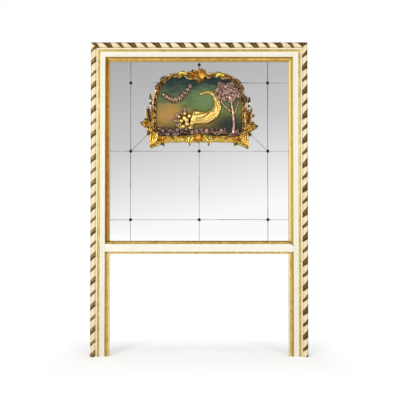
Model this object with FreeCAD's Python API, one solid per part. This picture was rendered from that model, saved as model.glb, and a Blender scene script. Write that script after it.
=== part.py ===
"""Trumeau mirror: a painted and gilt frame that stands on two long stiles, with a plated mirror.

Millimetres. +Z is up and the front faces -Y. The origin is on the floor, in the middle of the
frame's width and depth. Depths are given forward of the wall, and widths across the face are
given from the frame's outer edge inwards.
"""
import FreeCAD, Part

import functools
import math
import os

# ---- driving dimensions ----

# whole frame
frame_width = 1740.0
frame_height = 2510.0
leg_opening_height = 813.0
crossbar_height = 105.0

# mouldings, widths across the face
rope_width = 46.0
cream_fillet_width = 13.0
bead_width = 16.0
cream_band_width = 42.0
sight_width = 38.0
upper_bead_height = 24.0
lower_bead_height = 18.0

# mouldings, heights above the carcass
rope_flank = 19.0
ribbon_rise = 1.5
cream_fillet_rise = 24.0
bead_seat_rise = 13.0
bead_flank = 4.5
cream_band_rise = 18.0
flute_margin = 8.0
flute_depth = 3.0
sight_outer_rise = 15.0
sight_bead_width = 12.0
sight_cove_sink = 8.0
sight_lip_rise = 6.0
sight_lip_width = 5.0
crossbar_face_rise = 16.0
crossbar_arris = 2.0
crossbar_bead_step = 5.0
crossbar_bead_edge_rise = 8.0

# ribbon twist
ribbon_pitch = 195.0
wide_ribbon = 47.0
narrow_ribbon = 27.0
left_ribbon_start = 15.0
right_ribbon_start = 169.0
top_ribbon_start = 139.0

# carcass, back boards and glass, from the wall forwards
ledge_thickness = 13.0
board_thickness = 12.0
glass_thickness = 5.0
moulding_overhang = 4.0
ledge_width = 20.0
glass_cover = 23.0
rebate_clearance = 0.3
tenon_length = 45.0
tenon_thickness = 7.0
tenon_shoulder = 14.0
mortise_clearance = 0.1
brace_height = 80.0
back_board_count = 3

# mirror plates and their rosettes
edge_plate_width = 165.0
edge_plate_height = 168.5
plate_gap = 2.5
plate_arris = 1.5
rosette_radius = 13.5
rosette_edge = 1.5
rosette_height = 5.0
rosette_petals = 9
petal_notch_radius = 2.2
top_rosette_drop = 23.0
plate_notch_radius = 3.6
rosette_screw_radius = 1.8
rosette_screw_grip = 9.0
rosette_screw_head_radius = 4.2
rosette_screw_head_height = 2.0
screw_slot_width = 0.9
screw_slot_depth = 0.9
screw_clearance = 0.15

# cartouche: board, ground and rim
cartouche_drop = 638.5
cartouche_lift = 80.0
cartouche_board_thickness = 12.0
rail_height = 42.0
rail_rise = 26.0
rail_reach = 30.0
panel_half_width = 356.0
panel_side_height = 250.0
shoulder_width = 264.0
shoulder_height = 456.0
lobe_height = 487.0
dip_height = 430.0
rim_width = 24.0
rim_flank = 10.0
ground_thickness = 6.0
ground_clearance = 0.5

# cartouche: crest, scrolls, sprays and corner scrolls
shell_hub_height = 468.0
shell_hub_radius = 40.0
shell_backing_radius = 54.0
shell_rib_length = 82.0
shell_side_rib_length = 63.0
shell_rib_count = 9
shell_spread = 170.0
shell_rib_tip = 11.0
shell_rib_root = 5.0
shell_relief = 44.0
shell_rib_tilt = 12.0
shell_leaf_length = 60.0
shell_leaf_width = 30.0
crest_scroll_offset = 150.0
crest_scroll_height = 495.0
crest_scroll_radius = 23.0
crest_scroll_tube = 10.0
crest_base_radius = 30.0
crest_leaf_length = 62.0
crest_leaf_width = 26.0
wing_height = 98.0
wing_radius = 50.0
wing_offset = 14.0
spray_length = 222.0
spray_leaf_width = 54.0
spray_leaf_rise = 24.0
flower_radius = 28.0
flower_stem = 14.0
corner_radius = 40.0
corner_inset = 2.0
corner_leaf_length = 100.0
corner_leaf_width = 52.0
corner_leaf_rise = 26.0
corner_scroll_radius = 17.0
corner_scroll_tube = 8.0
rail_leaf_length = 34.0
rail_leaf_width = 34.0
rail_plate_rise = 12.0
rail_bead_height = 15.0
rail_rod_tube = 9.0
scallop_start = 0.22
scallop_end = 0.80
scallop_drop = 9.0
scallop_rise = 14.0
rail_shell_length = 62.0
rail_shell_width = 26.0

# relief on the panel
mound_radius = 62.0
mound_rise = 18.0
horn_mouth_radius = 52.0
horn_tail_radius = 7.0
horn_rise = 30.0
horn_ring_tube = 8.0
fruit_radius = 24.0
trunk_width = 26.0
trunk_rise = 17.0
foliage_radius = 38.0
foliage_rise = 17.0
garland_leaf_length = 44.0
garland_leaf_width = 26.0
garland_leaf_rise = 15.0
berry_radius = 12.0

# hangers and pads on the back
hanger_drop = 360.0
strap_width = 18.0
strap_length = 72.0
strap_thickness = 1.5
knuckle_standoff = 4.0
knuckle_wall = 1.5
ring_wire_radius = 2.0
ring_clearance = 0.05
ring_half_width = 17.0
ring_corner_radius = 6.0
ring_side = 6.0
strap_screw_radius = 1.9
strap_screw_head_radius = 3.6
strap_screw_head_height = 1.5
strap_screw_grip = 16.0
strap_screw_drop = 42.0
strap_screw_spacing = 20.0
pad_clearance = 0.45
pad_radius = 20.0
pad_end_distance = 62.0

# ---- sizes that follow from them ----

half_width = frame_width / 2
cream_width = cream_fillet_width + bead_width + cream_band_width
cream_inner = rope_width + cream_width
sight_inner = cream_inner + sight_width
sight_half = half_width - sight_inner
sight_outer_half = half_width - cream_inner
sight_top = frame_height - sight_inner
crossbar_top = leg_opening_height + crossbar_height
face_bottom = leg_opening_height + lower_bead_height
face_top = crossbar_top - upper_bead_height

knuckle_bore = ring_wire_radius + ring_clearance
knuckle_radius = knuckle_bore + knuckle_wall
pad_thickness = knuckle_standoff + knuckle_radius + pad_clearance
ledge_front = pad_thickness + ledge_thickness
board_front = ledge_front + board_thickness
carcass_front = board_front + glass_thickness
cartouche_front = carcass_front + cartouche_board_thickness
ground_front = cartouche_front + ground_thickness
overall_depth = cartouche_front + shell_relief

carcass_half = half_width - moulding_overhang
carcass_top = frame_height - moulding_overhang
stile_inner = sight_half + glass_cover - ledge_width
rebate_half = sight_half + glass_cover
rebate_bottom = crossbar_top - glass_cover
rebate_top = sight_top + glass_cover
stile_middle = (stile_inner + carcass_half) / 2
tenon_front = pad_thickness + (ledge_thickness + tenon_thickness) / 2

rail_bottom = sight_top - cartouche_drop
rail_top = rail_bottom + rail_height
seam_middle = rail_bottom - cartouche_lift
seam_side = sight_half - edge_plate_width
seam_rows = [crossbar_top + edge_plate_height, seam_middle, sight_top - edge_plate_height]
seam_columns = [-seam_side, 0.0, seam_side]
hanger_height = frame_height - hanger_drop

across = FreeCAD.Vector(1, 0, 0)
forward = FreeCAD.Vector(0, -1, 0)
up = FreeCAD.Vector(0, 0, 1)
far = 3 * frame_height


# ---- helpers ----

def place(x, depth, z):
    """The point at x across, a depth forward of the wall and z above the floor."""
    return FreeCAD.Vector(x, overall_depth / 2 - depth, z)


def block(x_range, depth_range, z_range):
    """A plain block between two limits each way."""
    corner = place(x_range[0], depth_range[1], z_range[0])
    return Part.makeBox(
        x_range[1] - x_range[0],
        depth_range[1] - depth_range[0],
        z_range[1] - z_range[0],
        corner,
    )


def plate(points, depth_range):
    """A flat plate with straight edges, its outline given in x and z."""
    corners = [place(x, depth_range[0], z) for x, z in points]
    face = Part.Face(Part.makePolygon(corners + corners[:1]))
    return face.extrude(forward * (depth_range[1] - depth_range[0]))


def disc(x, z, radius, depth_range):
    """A round plate facing the front."""
    height = depth_range[1] - depth_range[0]
    return Part.makeCylinder(radius, height, place(x, depth_range[0], z), forward)


def left_of(start, end):
    """All that lies to the left of the line from start to end, seen from the front."""
    run = FreeCAD.Vector(end[0] - start[0], end[1] - start[1], 0).normalize() * far
    side = FreeCAD.Vector(-run.y, run.x, 0)
    points = [
        (start[0] - run.x, start[1] - run.y),
        (start[0] + run.x, start[1] + run.y),
        (start[0] + run.x + side.x, start[1] + run.y + side.y),
        (start[0] - run.x + side.x, start[1] - run.y + side.y),
    ]
    return plate(points, (-overall_depth, 2 * overall_depth))


def behind(depth):
    """All that lies behind a depth."""
    return block((-far, far), (depth - far, depth), (-far, far))


def chain(path, to_point):
    """Edges along a path of straight steps (u, v) and arcs (through u, v, to u, v)."""
    edges = []
    here = path[0]
    for step in path[1:]:
        end = step[-2:]
        if len(step) == 2:
            edges.append(Part.LineSegment(to_point(*here), to_point(*end)).toShape())
        else:
            arc = Part.Arc(to_point(*here), to_point(*step[:2]), to_point(*end))
            edges.append(arc.toShape())
        here = end
    return edges


def closed_face(path, to_point):
    """The face inside a path and the straight line that closes it."""
    return Part.Face(Part.Wire(chain(path + [path[0]], to_point)))


def stile_run(path, side, bottom, top):
    """A moulding that runs up one side, from its section in distance inwards and depth."""
    face = closed_face(path, lambda u, depth: place(side * (half_width - u), depth, bottom))
    return face.extrude(up * (top - bottom))


def top_run(path):
    """A moulding that runs along the top."""
    face = closed_face(path, lambda u, depth: place(-half_width, depth, frame_height - u))
    return face.extrude(across * frame_width)


def bar_run(path, bottom, half_length):
    """A moulding that runs along the cross bar, from its section in height and depth."""
    face = closed_face(path, lambda v, depth: place(-half_length, depth, bottom + v))
    return face.extrude(across * 2 * half_length)


def fuse(shapes):
    """One solid from shapes that meet."""
    joined = shapes[0].multiFuse(shapes[1:]).removeSplitter()
    return joined.Solids[0] if len(joined.Solids) == 1 else joined


def mirrored(shape):
    """The same piece on the other side of the frame."""
    return shape.mirror(FreeCAD.Vector(0, 0, 0), across)


def mitre_side(shape, side):
    """A side moulding cut on the mitre at its top corner."""
    corner = (side * half_width, frame_height)
    inner = (side * sight_half, sight_top)
    line = (corner, inner) if side < 0 else (inner, corner)
    return shape.cut(left_of(*line))


def mitre_top(shape):
    """The top moulding cut on the mitre at both its ends."""
    for side in (-1, 1):
        corner = (side * half_width, frame_height)
        inner = (side * sight_half, sight_top)
        line = (inner, corner) if side < 0 else (corner, inner)
        shape = shape.cut(left_of(*line))
    return shape


def sided(name, build):
    """A left and a right node of one piece."""
    return {name + "_left": build(-1), name + "_right": build(1)}


# ---- carcass ----

def tenon(z_range, reach):
    """The tenons at both ends of a rail, as one long bar that is fused into it."""
    half = stile_inner + reach
    return block((-half, half), (tenon_front - tenon_thickness, tenon_front), z_range)


def grown(z_range, margin):
    return (z_range[0] - margin, z_range[1] + margin)


def rails():
    """Height range, depth range and tenon height range of each rail."""
    bottom = leg_opening_height + crossbar_arris
    cross = (bottom, crossbar_top - crossbar_arris)
    top = (sight_top + crossbar_arris, carcass_top)
    brace = (seam_middle - brace_height / 2, seam_middle + brace_height / 2)
    full = (pad_thickness, carcass_front)
    behind_boards = (pad_thickness, ledge_front)
    return {
        "cross_rail": (cross, full, grown(cross, -tenon_shoulder)),
        "top_rail": (top, full, grown(top, -tenon_shoulder)),
        "middle_brace": (brace, behind_boards, grown(brace, -tenon_shoulder)),
    }


def rebate():
    """The space in the carcass for the boards and the plates."""
    return block(
        (-rebate_half, rebate_half), (ledge_front, carcass_front), (rebate_bottom, rebate_top)
    )


def make_rail(name):
    z_range, depths, tenon_range = rails()[name]
    body = block((-stile_inner, stile_inner), depths, z_range)
    return fuse([body, tenon(tenon_range, tenon_length)]).cut(rebate())


def make_stile(side):
    inner, outer = sorted((side * stile_inner, side * carcass_half))
    stile = block((inner, outer), (pad_thickness, carcass_front), (0, carcass_top))
    stile = stile.cut(rebate())
    for z_range, depths, tenon_range in rails().values():
        mortise = block(
            (-stile_inner - tenon_length - mortise_clearance,
             stile_inner + tenon_length + mortise_clearance),
            (tenon_front - tenon_thickness - mortise_clearance, tenon_front + mortise_clearance),
            grown(tenon_range, mortise_clearance),
        )
        stile = stile.cut(mortise)
    for z in strap_screw_heights():
        pilot = Part.makeCylinder(
            strap_screw_radius + screw_clearance,
            strap_screw_grip + screw_clearance,
            place(side * stile_middle, pad_thickness, z),
            forward,
        )
        stile = stile.cut(pilot)
    return stile


def make_back_boards():
    """Boards side by side in the rebate, with holes for the rosettes' screws."""
    half = rebate_half - rebate_clearance
    width = 2 * half / back_board_count
    names = ["left", "centre", "right"]
    heights = (rebate_bottom + rebate_clearance, rebate_top - rebate_clearance)
    boards = {}
    for index in range(back_board_count):
        start = -half + index * width
        board = block((start, start + width), (ledge_front, board_front), heights)
        for x, z in rosette_places():
            depth = board_front - rosette_screw_grip - screw_clearance
            board = board.cut(
                disc(x, z, rosette_screw_radius + screw_clearance, (depth, board_front))
            )
        boards["back_board_" + names[index]] = board
    return boards


# ---- frame mouldings ----

def rope_section(inset):
    """Half-round on straight flanks."""
    radius = rope_width / 2 - inset
    flank = carcass_front + rope_flank
    return [
        (inset, carcass_front),
        (inset, flank),
        (rope_width / 2, flank + radius, rope_width - inset, flank),
        (rope_width - inset, carcass_front),
    ]


def ribbon_band(centre, width, lean, to_xz):
    """A slanting band across the rope, its corners given inwards and along the moulding."""
    corners = [(0.0, -1), (rope_width, -1), (rope_width, 1), (0.0, 1)]
    points = [
        to_xz(u, centre + lean * (u - rope_width / 2) + sign * width / 2)
        for u, sign in corners
    ]
    return plate(points, (carcass_front, carcass_front + 2 * rope_width))


def ribbons(start, length, lean, to_xz):
    """Wide and narrow bands in turn, from one end of the moulding to the other."""
    bands = []
    steps = int(length / ribbon_pitch * 2) + 4
    for index in range(-2, steps):
        width = wide_ribbon if index % 2 == 0 else narrow_ribbon
        along = start + index * ribbon_pitch / 2
        if -width < along < length + width:
            bands.append(ribbon_band(along, width, lean, to_xz))
    return Part.makeCompound(bands)


def make_rope_side(side):
    """Both sides' ribbons rise to the right."""
    start = left_ribbon_start if side < 0 else right_ribbon_start
    core = stile_run(rope_section(ribbon_rise), side, 0, frame_height)
    outer = stile_run(rope_section(0.0), side, 0, frame_height)
    bands = ribbons(start, frame_height, -side, lambda u, z: (side * (half_width - u), z))
    return mitre_side(fuse([core] + outer.common(bands).Solids), side)


def make_rope_top():
    """The top's ribbons fall to the right."""
    core = top_run(rope_section(ribbon_rise))
    outer = top_run(rope_section(0.0))
    bands = ribbons(
        top_ribbon_start, frame_width, 1, lambda u, x: (x - half_width, frame_height - u)
    )
    return mitre_top(fuse([core] + outer.common(bands).Solids))


def cream_section():
    """Fillet, seat for the gilt bead, and a band with a shallow flute."""
    seat_start = rope_width + cream_fillet_width
    seat_end = seat_start + bead_width
    band = carcass_front + cream_band_rise
    flute_start = seat_end + flute_margin
    flute_end = cream_inner - flute_margin
    return [
        (rope_width, carcass_front),
        (rope_width, carcass_front + cream_fillet_rise),
        (seat_start, carcass_front + cream_fillet_rise),
        (seat_start, carcass_front + bead_seat_rise),
        (seat_end, carcass_front + bead_seat_rise),
        (seat_end, band),
        (flute_start, band),
        ((flute_start + flute_end) / 2, band - flute_depth, flute_end, band),
        (cream_inner, band),
        (cream_inner, carcass_front),
    ]


def bead_section():
    """Half-round bead that stands in the seat of the cream moulding."""
    start = rope_width + cream_fillet_width
    end = start + bead_width
    base = carcass_front + bead_seat_rise
    flank = base + bead_flank
    return [
        (start, base),
        (start, flank),
        ((start + end) / 2, flank + bead_width / 2, end, flank),
        (end, base),
    ]


def sight_section():
    """Small bead outside, then a cove that falls to a lip on the glass."""
    outer = carcass_front + sight_outer_rise
    bead_end = cream_inner + sight_bead_width
    lip_start = sight_inner - sight_lip_width
    lip = carcass_front + sight_lip_rise
    cove_middle = (bead_end + lip_start) / 2
    cove_depth = (outer + lip) / 2 - sight_cove_sink / 2
    return [
        (cream_inner, carcass_front),
        (cream_inner, outer),
        ((cream_inner + bead_end) / 2, outer + sight_bead_width / 2, bead_end, outer),
        (cove_middle, cove_depth, lip_start, lip),
        (sight_inner, lip),
        (sight_inner, carcass_front),
    ]


def make_sight_side(side):
    """The upper length, mitred to the top and to the bead on the cross bar."""
    run = stile_run(sight_section(), side, face_top, frame_height)
    corner = (side * sight_half, crossbar_top)
    outer = (side * sight_outer_half, face_top)
    line = (corner, outer) if side < 0 else (outer, corner)
    return mitre_side(run, side).cut(left_of(*line))


def make_leg_side(side):
    """The lower length, down to the floor, mitred to the bead under the cross bar."""
    run = stile_run(sight_section(), side, 0, face_bottom)
    corner = (side * sight_half, leg_opening_height)
    outer = (side * sight_outer_half, face_bottom)
    line = (outer, corner) if side < 0 else (corner, outer)
    return run.cut(left_of(*line))


# ---- cross bar ----

def make_crossbar_face():
    front = carcass_front + crossbar_face_rise
    height = face_top - face_bottom
    path = [
        (0, carcass_front),
        (0, front - crossbar_arris),
        (crossbar_arris, front),
        (height - crossbar_arris, front),
        (height, front - crossbar_arris),
        (height, carcass_front),
    ]
    return bar_run(path, face_bottom, sight_outer_half)


def make_upper_bead():
    """Bead with a step below it and a lip on the glass above it."""
    base = carcass_front + crossbar_face_rise
    bead_end = upper_bead_height - crossbar_bead_step
    radius = (bead_end - crossbar_bead_step) / 2
    path = [
        (0, carcass_front),
        (0, base),
        (crossbar_bead_step, base),
        (crossbar_bead_step + radius, base + radius, bead_end, base),
        (bead_end, carcass_front + crossbar_bead_edge_rise),
        (upper_bead_height, carcass_front + sight_lip_rise),
        (upper_bead_height, carcass_front),
    ]
    run = bar_run(path, face_top, sight_outer_half)
    return end_mitres(run, crossbar_top, face_top)


def make_lower_bead():
    """Bead along the lower edge of the cross bar."""
    base = carcass_front + crossbar_bead_edge_rise
    radius = (lower_bead_height - crossbar_bead_step) / 2
    path = [
        (0, carcass_front),
        (0, base),
        (radius, base + radius, 2 * radius, base),
        (lower_bead_height, base),
        (lower_bead_height, carcass_front),
    ]
    run = bar_run(path, leg_opening_height, sight_outer_half)
    return end_mitres(run, leg_opening_height, face_bottom)


def end_mitres(run, inner_z, outer_z):
    """Cuts both ends on the line from the opening's corner to the cream moulding."""
    for side in (-1, 1):
        corner = (side * sight_half, inner_z)
        outer = (side * sight_outer_half, outer_z)
        outward_up = (side < 0) == (inner_z > outer_z)
        line = (outer, corner) if outward_up else (corner, outer)
        run = run.cut(left_of(*line))
    return run


# ---- mirror plates and rosettes ----

def rosette_places():
    """Every crossing of the seams but the one behind the cartouche, and one above it."""
    places = [(x, z) for z in seam_rows for x in seam_columns if (x, z) != (0.0, seam_rows[2])]
    return places + [(0.0, sight_top - top_rosette_drop)]


def cut_notches(shape):
    for x, z in rosette_places():
        notch = disc(x, z, plate_notch_radius, (board_front, carcass_front + 1))
        shape = shape.cut(notch)
    return shape


def make_plate(points):
    """One plate with its front edges eased, notched where a rosette's screw passes."""
    glass = plate(points, (board_front, carcass_front))
    front_y = place(0, carcass_front, 0).y
    front_edges = [
        edge for edge in glass.Edges
        if all(abs(vertex.Point.y - front_y) < 1e-6 for vertex in edge.Vertexes)
    ]
    return cut_notches(glass.makeChamfer(plate_arris, front_edges))


def plate_cells():
    """Columns and rows of the plates between the rebate's edges and the seams."""
    half_gap = plate_gap / 2
    edge = rebate_half - rebate_clearance
    bottom = rebate_bottom + rebate_clearance
    top = rebate_top - rebate_clearance
    xs = [-edge - half_gap] + seam_columns + [edge + half_gap]
    zs = [bottom - half_gap] + seam_rows + [top + half_gap]
    columns = [(a + half_gap, b - half_gap) for a, b in zip(xs, xs[1:])]
    rows = [(a + half_gap, b - half_gap) for a, b in zip(zs, zs[1:])]
    return columns, rows


def cell(column, row):
    return [(column[0], row[0]), (column[1], row[0]), (column[1], row[1]), (column[0], row[1])]


def make_triangles(column, row, rising):
    """The two plates of a cell that is cut from corner to corner."""
    shift = plate_gap / math.sqrt(2)
    left, right = column
    low, high = row
    if rising:
        upper = [(left, low + shift), (right - shift, high), (left, high)]
        lower = [(left + shift, low), (right, low), (right, high - shift)]
    else:
        upper = [(left + shift, high), (right, low + shift), (right, high)]
        lower = [(left, low), (right - shift, low), (left, high - shift)]
    return make_plate(upper), make_plate(lower)


def make_plates():
    columns, rows = plate_cells()
    left, inner_left, inner_right, right = columns
    bottom, lower, upper, top = rows
    outer_left, under_left = make_triangles(inner_left, upper, True)
    outer_right, under_right = make_triangles(inner_right, upper, False)
    groups = {
        "mirror_plates_top": [cell(column, top) for column in columns],
        "mirror_plates_bottom": [cell(column, bottom) for column in columns],
        "mirror_plates_left": [cell(left, lower), cell(left, upper)],
        "mirror_plates_right": [cell(right, lower), cell(right, upper)],
        "mirror_plate_lower_left": [cell(inner_left, lower)],
        "mirror_plate_lower_right": [cell(inner_right, lower)],
    }
    plates = {name: group([make_plate(points) for points in cells])
              for name, cells in groups.items()}
    plates["mirror_plate_upper_left_outer"] = outer_left
    plates["mirror_plate_upper_left_inner"] = under_left
    plates["mirror_plate_upper_right_outer"] = outer_right
    plates["mirror_plate_upper_right_inner"] = under_right
    return plates


def group(shapes):
    """Separate solids that share a node."""
    return shapes[0] if len(shapes) == 1 else Part.makeCompound(shapes)


def turned(path, x, z):
    """A solid of revolution about a line that points to the front, from radius and depth."""
    face = closed_face(path, lambda radius, depth: place(x + radius, depth, z))
    return face.revolve(place(x, 0, z), forward, 360)


def make_rosette(x, z):
    hole = rosette_screw_radius + screw_clearance
    flat = rosette_screw_head_radius + 1
    edge = carcass_front + rosette_edge
    top = carcass_front + rosette_height
    path = [
        (hole, carcass_front),
        (rosette_radius, carcass_front),
        (rosette_radius, edge),
        ((rosette_radius + flat) / 2 + 1, edge + rosette_height * 0.55, flat, top),
        (hole, top),
    ]
    rosette = turned(path, x, z)
    for index in range(rosette_petals):
        angle = 2 * math.pi * index / rosette_petals
        rosette = rosette.cut(disc(
            x + rosette_radius * math.cos(angle),
            z + rosette_radius * math.sin(angle),
            petal_notch_radius,
            (carcass_front, top + 1),
        ))
    return rosette


def slotted_screw(x, z, seat, direction, shank, head):
    """A screw with its head on a seat; shank is radius and length, head is radius and height."""
    base = place(x, seat, z)
    shank_solid = Part.makeCylinder(shank[0], shank[1], base, direction * -1)
    head_solid = Part.makeCylinder(head[0], head[1], base, direction)
    slot_top = seat - direction.y * head[1]
    slot_bottom = slot_top + direction.y * screw_slot_depth
    slot = block(
        (x - head[0] - 1, x + head[0] + 1),
        (min(slot_top, slot_bottom), max(slot_top, slot_bottom)),
        (z - screw_slot_width / 2, z + screw_slot_width / 2),
    )
    return fuse([shank_solid, head_solid]).cut(slot)


def make_rosette_screw(x, z):
    seat = carcass_front + rosette_height
    length = seat - board_front + rosette_screw_grip
    return slotted_screw(
        x, z, seat, forward,
        (rosette_screw_radius, length),
        (rosette_screw_head_radius, rosette_screw_head_height),
    )


# ---- cartouche ----

def shoulder_arc():
    """Radius of the shoulder, and the angle that it turns through."""
    inward = panel_half_width - shoulder_width
    rise = shoulder_height - panel_side_height
    radius = (inward ** 2 + rise ** 2) / (2 * inward)
    return radius, math.asin(rise / radius)


def panel_path():
    """Half the panel's outline, from the rail up the right side to the dip, in x and z."""
    radius, turn = shoulder_arc()
    centre = panel_half_width - radius
    return [
        (panel_half_width, 0.0),
        (panel_half_width, panel_side_height),
        (centre + radius * math.cos(turn / 2), panel_side_height + radius * math.sin(turn / 2),
         shoulder_width, shoulder_height),
        (shoulder_width / 2, lobe_height, 0.0, dip_height),
    ]


def panel_wire(depth):
    """The whole outline along the middle of the rim."""
    edges = chain(panel_path(), lambda x, z: place(x, depth, rail_top + z))
    right = Part.Wire(edges)
    left = mirrored(right)
    foot = Part.LineSegment(
        place(-panel_half_width, depth, rail_top), place(panel_half_width, depth, rail_top)
    ).toShape()
    return Part.Wire(Part.__sortEdges__(right.Edges + left.Edges + [foot]))


def panel_plate(margin, depth_range):
    """A plate of the panel's outline, grown by a margin all round."""
    wire = panel_wire(depth_range[0]).makeOffset2D(margin)
    return Part.Face(wire).extrude(forward * (depth_range[1] - depth_range[0]))


def wing_places():
    return [(side * (panel_half_width + wing_offset), rail_top + wing_height) for side in (-1, 1)]


def corner_places():
    return [(side * (panel_half_width + corner_inset), rail_bottom) for side in (-1, 1)]


def crest_scroll_places():
    return [(side * crest_scroll_offset, rail_top + crest_scroll_height) for side in (-1, 1)]


def shell_place():
    return 0.0, rail_top + shell_hub_height


def make_cartouche_board():
    """The board that carries the rim, the rail and the carving."""
    depths = (carcass_front, cartouche_front)
    rail_half = panel_half_width + rail_reach
    shapes = [
        panel_plate(rim_width / 2, depths),
        block((-rail_half, rail_half), depths, (rail_bottom, rail_top)),
        disc(*shell_place(), shell_backing_radius, depths),
    ]
    shapes += [disc(x, z, wing_radius, depths) for x, z in wing_places()]
    shapes += [disc(x, z, corner_radius, depths) for x, z in corner_places()]
    shapes += [disc(x, z, crest_scroll_radius, depths) for x, z in crest_scroll_places()]
    return fuse(shapes)


def make_ground():
    """The painted ground inside the rim."""
    margin = -(rim_width / 2 + ground_clearance)
    return panel_plate(margin, (cartouche_front, ground_front))


def rim_section():
    """Half-round on low flanks, in distance from its middle and depth."""
    half = rim_width / 2
    flank = cartouche_front + rim_flank
    return [(-half, cartouche_front), (-half, flank), (0, flank + half, half, flank),
            (half, cartouche_front)]


def lobe_arc():
    """Middle, radius and start angle of the arc over the right lobe of the panel."""
    start, through, end = panel_path()[2][2:], panel_path()[3][:2], panel_path()[3][2:]
    arc = Part.Arc(*[place(x, 0, z) for x, z in (start, through, end)])
    circle = arc.toShape().Curve
    turn = 2 * math.asin(math.dist(start, end) / 2 / circle.Radius)
    return circle.Center, circle.Radius, turn


@functools.lru_cache(maxsize=None)
def make_rim(side):
    """Up the side, round the shoulder and over the lobe, as far as the shell."""
    radius, turn = shoulder_arc()
    face = closed_face(
        rim_section(), lambda u, depth: place(panel_half_width + u, depth, rail_top)
    )
    straight = face.extrude(up * panel_side_height)
    centre = place(panel_half_width - radius, 0, rail_top + panel_side_height)
    bend = face.translated(up * panel_side_height).revolve(centre, forward, math.degrees(turn))
    middle, lobe_radius, lobe_turn = lobe_arc()
    middle = FreeCAD.Vector(middle.x, 0, rail_top + middle.z)
    first = FreeCAD.Vector(shoulder_width, 0, rail_top + shoulder_height) - middle
    angle = math.atan2(first.z, first.x)
    lobe_face = closed_face(
        rim_section(), lambda u, depth: place(
            middle.x + (lobe_radius + u) * math.cos(angle), depth,
            middle.z + (lobe_radius + u) * math.sin(angle),
        )
    )
    lobe = lobe_face.revolve(middle, forward, math.degrees(lobe_turn))
    rim = fuse([straight, bend, lobe])
    rim = rim.cut(disc(*shell_place(), shell_side_rib_length + ground_clearance, (0, far)))
    notch = disc(*crest_scroll_places()[1], crest_base_radius + ground_clearance,
                 (cartouche_front + rim_flank, overall_depth))
    solid = largest(rim.cut(notch))
    return solid if side > 0 else mirrored(solid)


def flat_faces(a, b, c, d):
    """The quadrilateral of four corners, as one flat face or, where it twists, as two."""
    if abs((b - a).cross(c - a).dot(d - a)) < 1e-6:
        return [Part.Face(Part.makePolygon([a, b, c, d, a]))]
    return [Part.Face(Part.makePolygon([a, b, c, a])), Part.Face(Part.makePolygon([a, c, d, a]))]


def faceted(rings):
    """A solid with flat facets, through rings of as many corners each."""
    first, last = rings[0], list(reversed(rings[-1]))
    faces = [Part.Face(Part.makePolygon(ring + ring[:1])) for ring in (first, last)]
    count = len(first)
    for near, after in zip(rings, rings[1:]):
        for index in range(count):
            other = (index + 1) % count
            faces += flat_faces(near[other], near[index], after[index], after[other])
    shell = Part.makeShell(faces)
    shell.sewShape()
    solid = Part.makeSolid(shell)
    if solid.Volume < 0:
        solid.reverse()
    return solid


def leaf(root, tip, width, rise, base, bend=0.0):
    """A carved leaf with a ridge along its middle, flat behind, from root to tip."""
    run_x, run_z = tip[0] - root[0], tip[1] - root[1]
    length = math.hypot(run_x, run_z)
    run_x, run_z = run_x / length, run_z / length
    rings = []
    for part, share in ((0.0, 0.35), (0.35, 1.0), (0.7, 0.75), (1.0, 0.06)):
        sideways = bend * length * math.sin(math.pi * part)
        x = root[0] + run_x * length * part - run_z * sideways
        z = root[1] + run_z * length * part + run_x * sideways
        half = width * share / 2
        rings.append([
            place(x - run_z * half, base, z + run_x * half),
            place(x, base + rise * share, z),
            place(x + run_z * half, base, z - run_x * half),
        ])
    return faceted(rings)


def bent_rod(x, z, radius, tube, base, angles):
    """A round rod bent about a point in the plane of the face, cut flat behind."""
    start, end = angles
    depth = base + tube * 0.4
    centre = place(x, depth, z)
    first = centre + FreeCAD.Vector(math.cos(math.radians(start)), 0,
                                    math.sin(math.radians(start))) * radius
    along = FreeCAD.Vector(-math.sin(math.radians(start)), 0, math.cos(math.radians(start)))
    circle = Part.Face(Part.Wire(Part.makeCircle(tube, first, along)))
    return circle.revolve(centre, forward, end - start).cut(behind(base))


def knob(x, z, radius, base, sink):
    """A ball that stands out of the face, cut flat behind."""
    ball = Part.makeSphere(radius, place(x, base + radius - sink, z))
    return ball.cut(behind(base))


def shell_rib(angle, length):
    """One rib of a shell: a tapering rod with a round end, leaning out of the board."""
    path = [
        (0.0, 0.0),
        (shell_rib_root, 0.0),
        (shell_rib_tip, length - shell_rib_tip),
        (shell_rib_tip * math.sqrt(0.5), length - shell_rib_tip * (1 - math.sqrt(0.5)),
         0.0, length),
    ]
    face = closed_face(path, lambda u, v: FreeCAD.Vector(u, 0, v))
    rib = face.revolve(FreeCAD.Vector(0, 0, 0), up, 360)
    rib.rotate(FreeCAD.Vector(0, 0, 0), across, shell_rib_tilt)
    rib.rotate(FreeCAD.Vector(0, 0, 0), forward * -1, angle)
    return rib


def shell_tip_depth(length):
    """How far a rib's round end stands out of its root."""
    tilt = math.radians(shell_rib_tilt)
    return (length - shell_rib_tip) * math.sin(tilt) + shell_rib_tip


def spoke(centre, angle, length):
    """The point at a length from a centre, at an angle in degrees above the level."""
    turn = math.radians(angle)
    return centre[0] + length * math.cos(turn), centre[1] + length * math.sin(turn)


def largest(shape):
    """The main solid of a carving whose loose slivers were cut off."""
    return max(shape.Solids, key=lambda piece: piece.Volume)


@functools.lru_cache(maxsize=None)
def clear_of_ground():
    """The rim's opening, which holds the ground."""
    return panel_plate(-rim_width / 2, (cartouche_front, ground_front))


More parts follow.
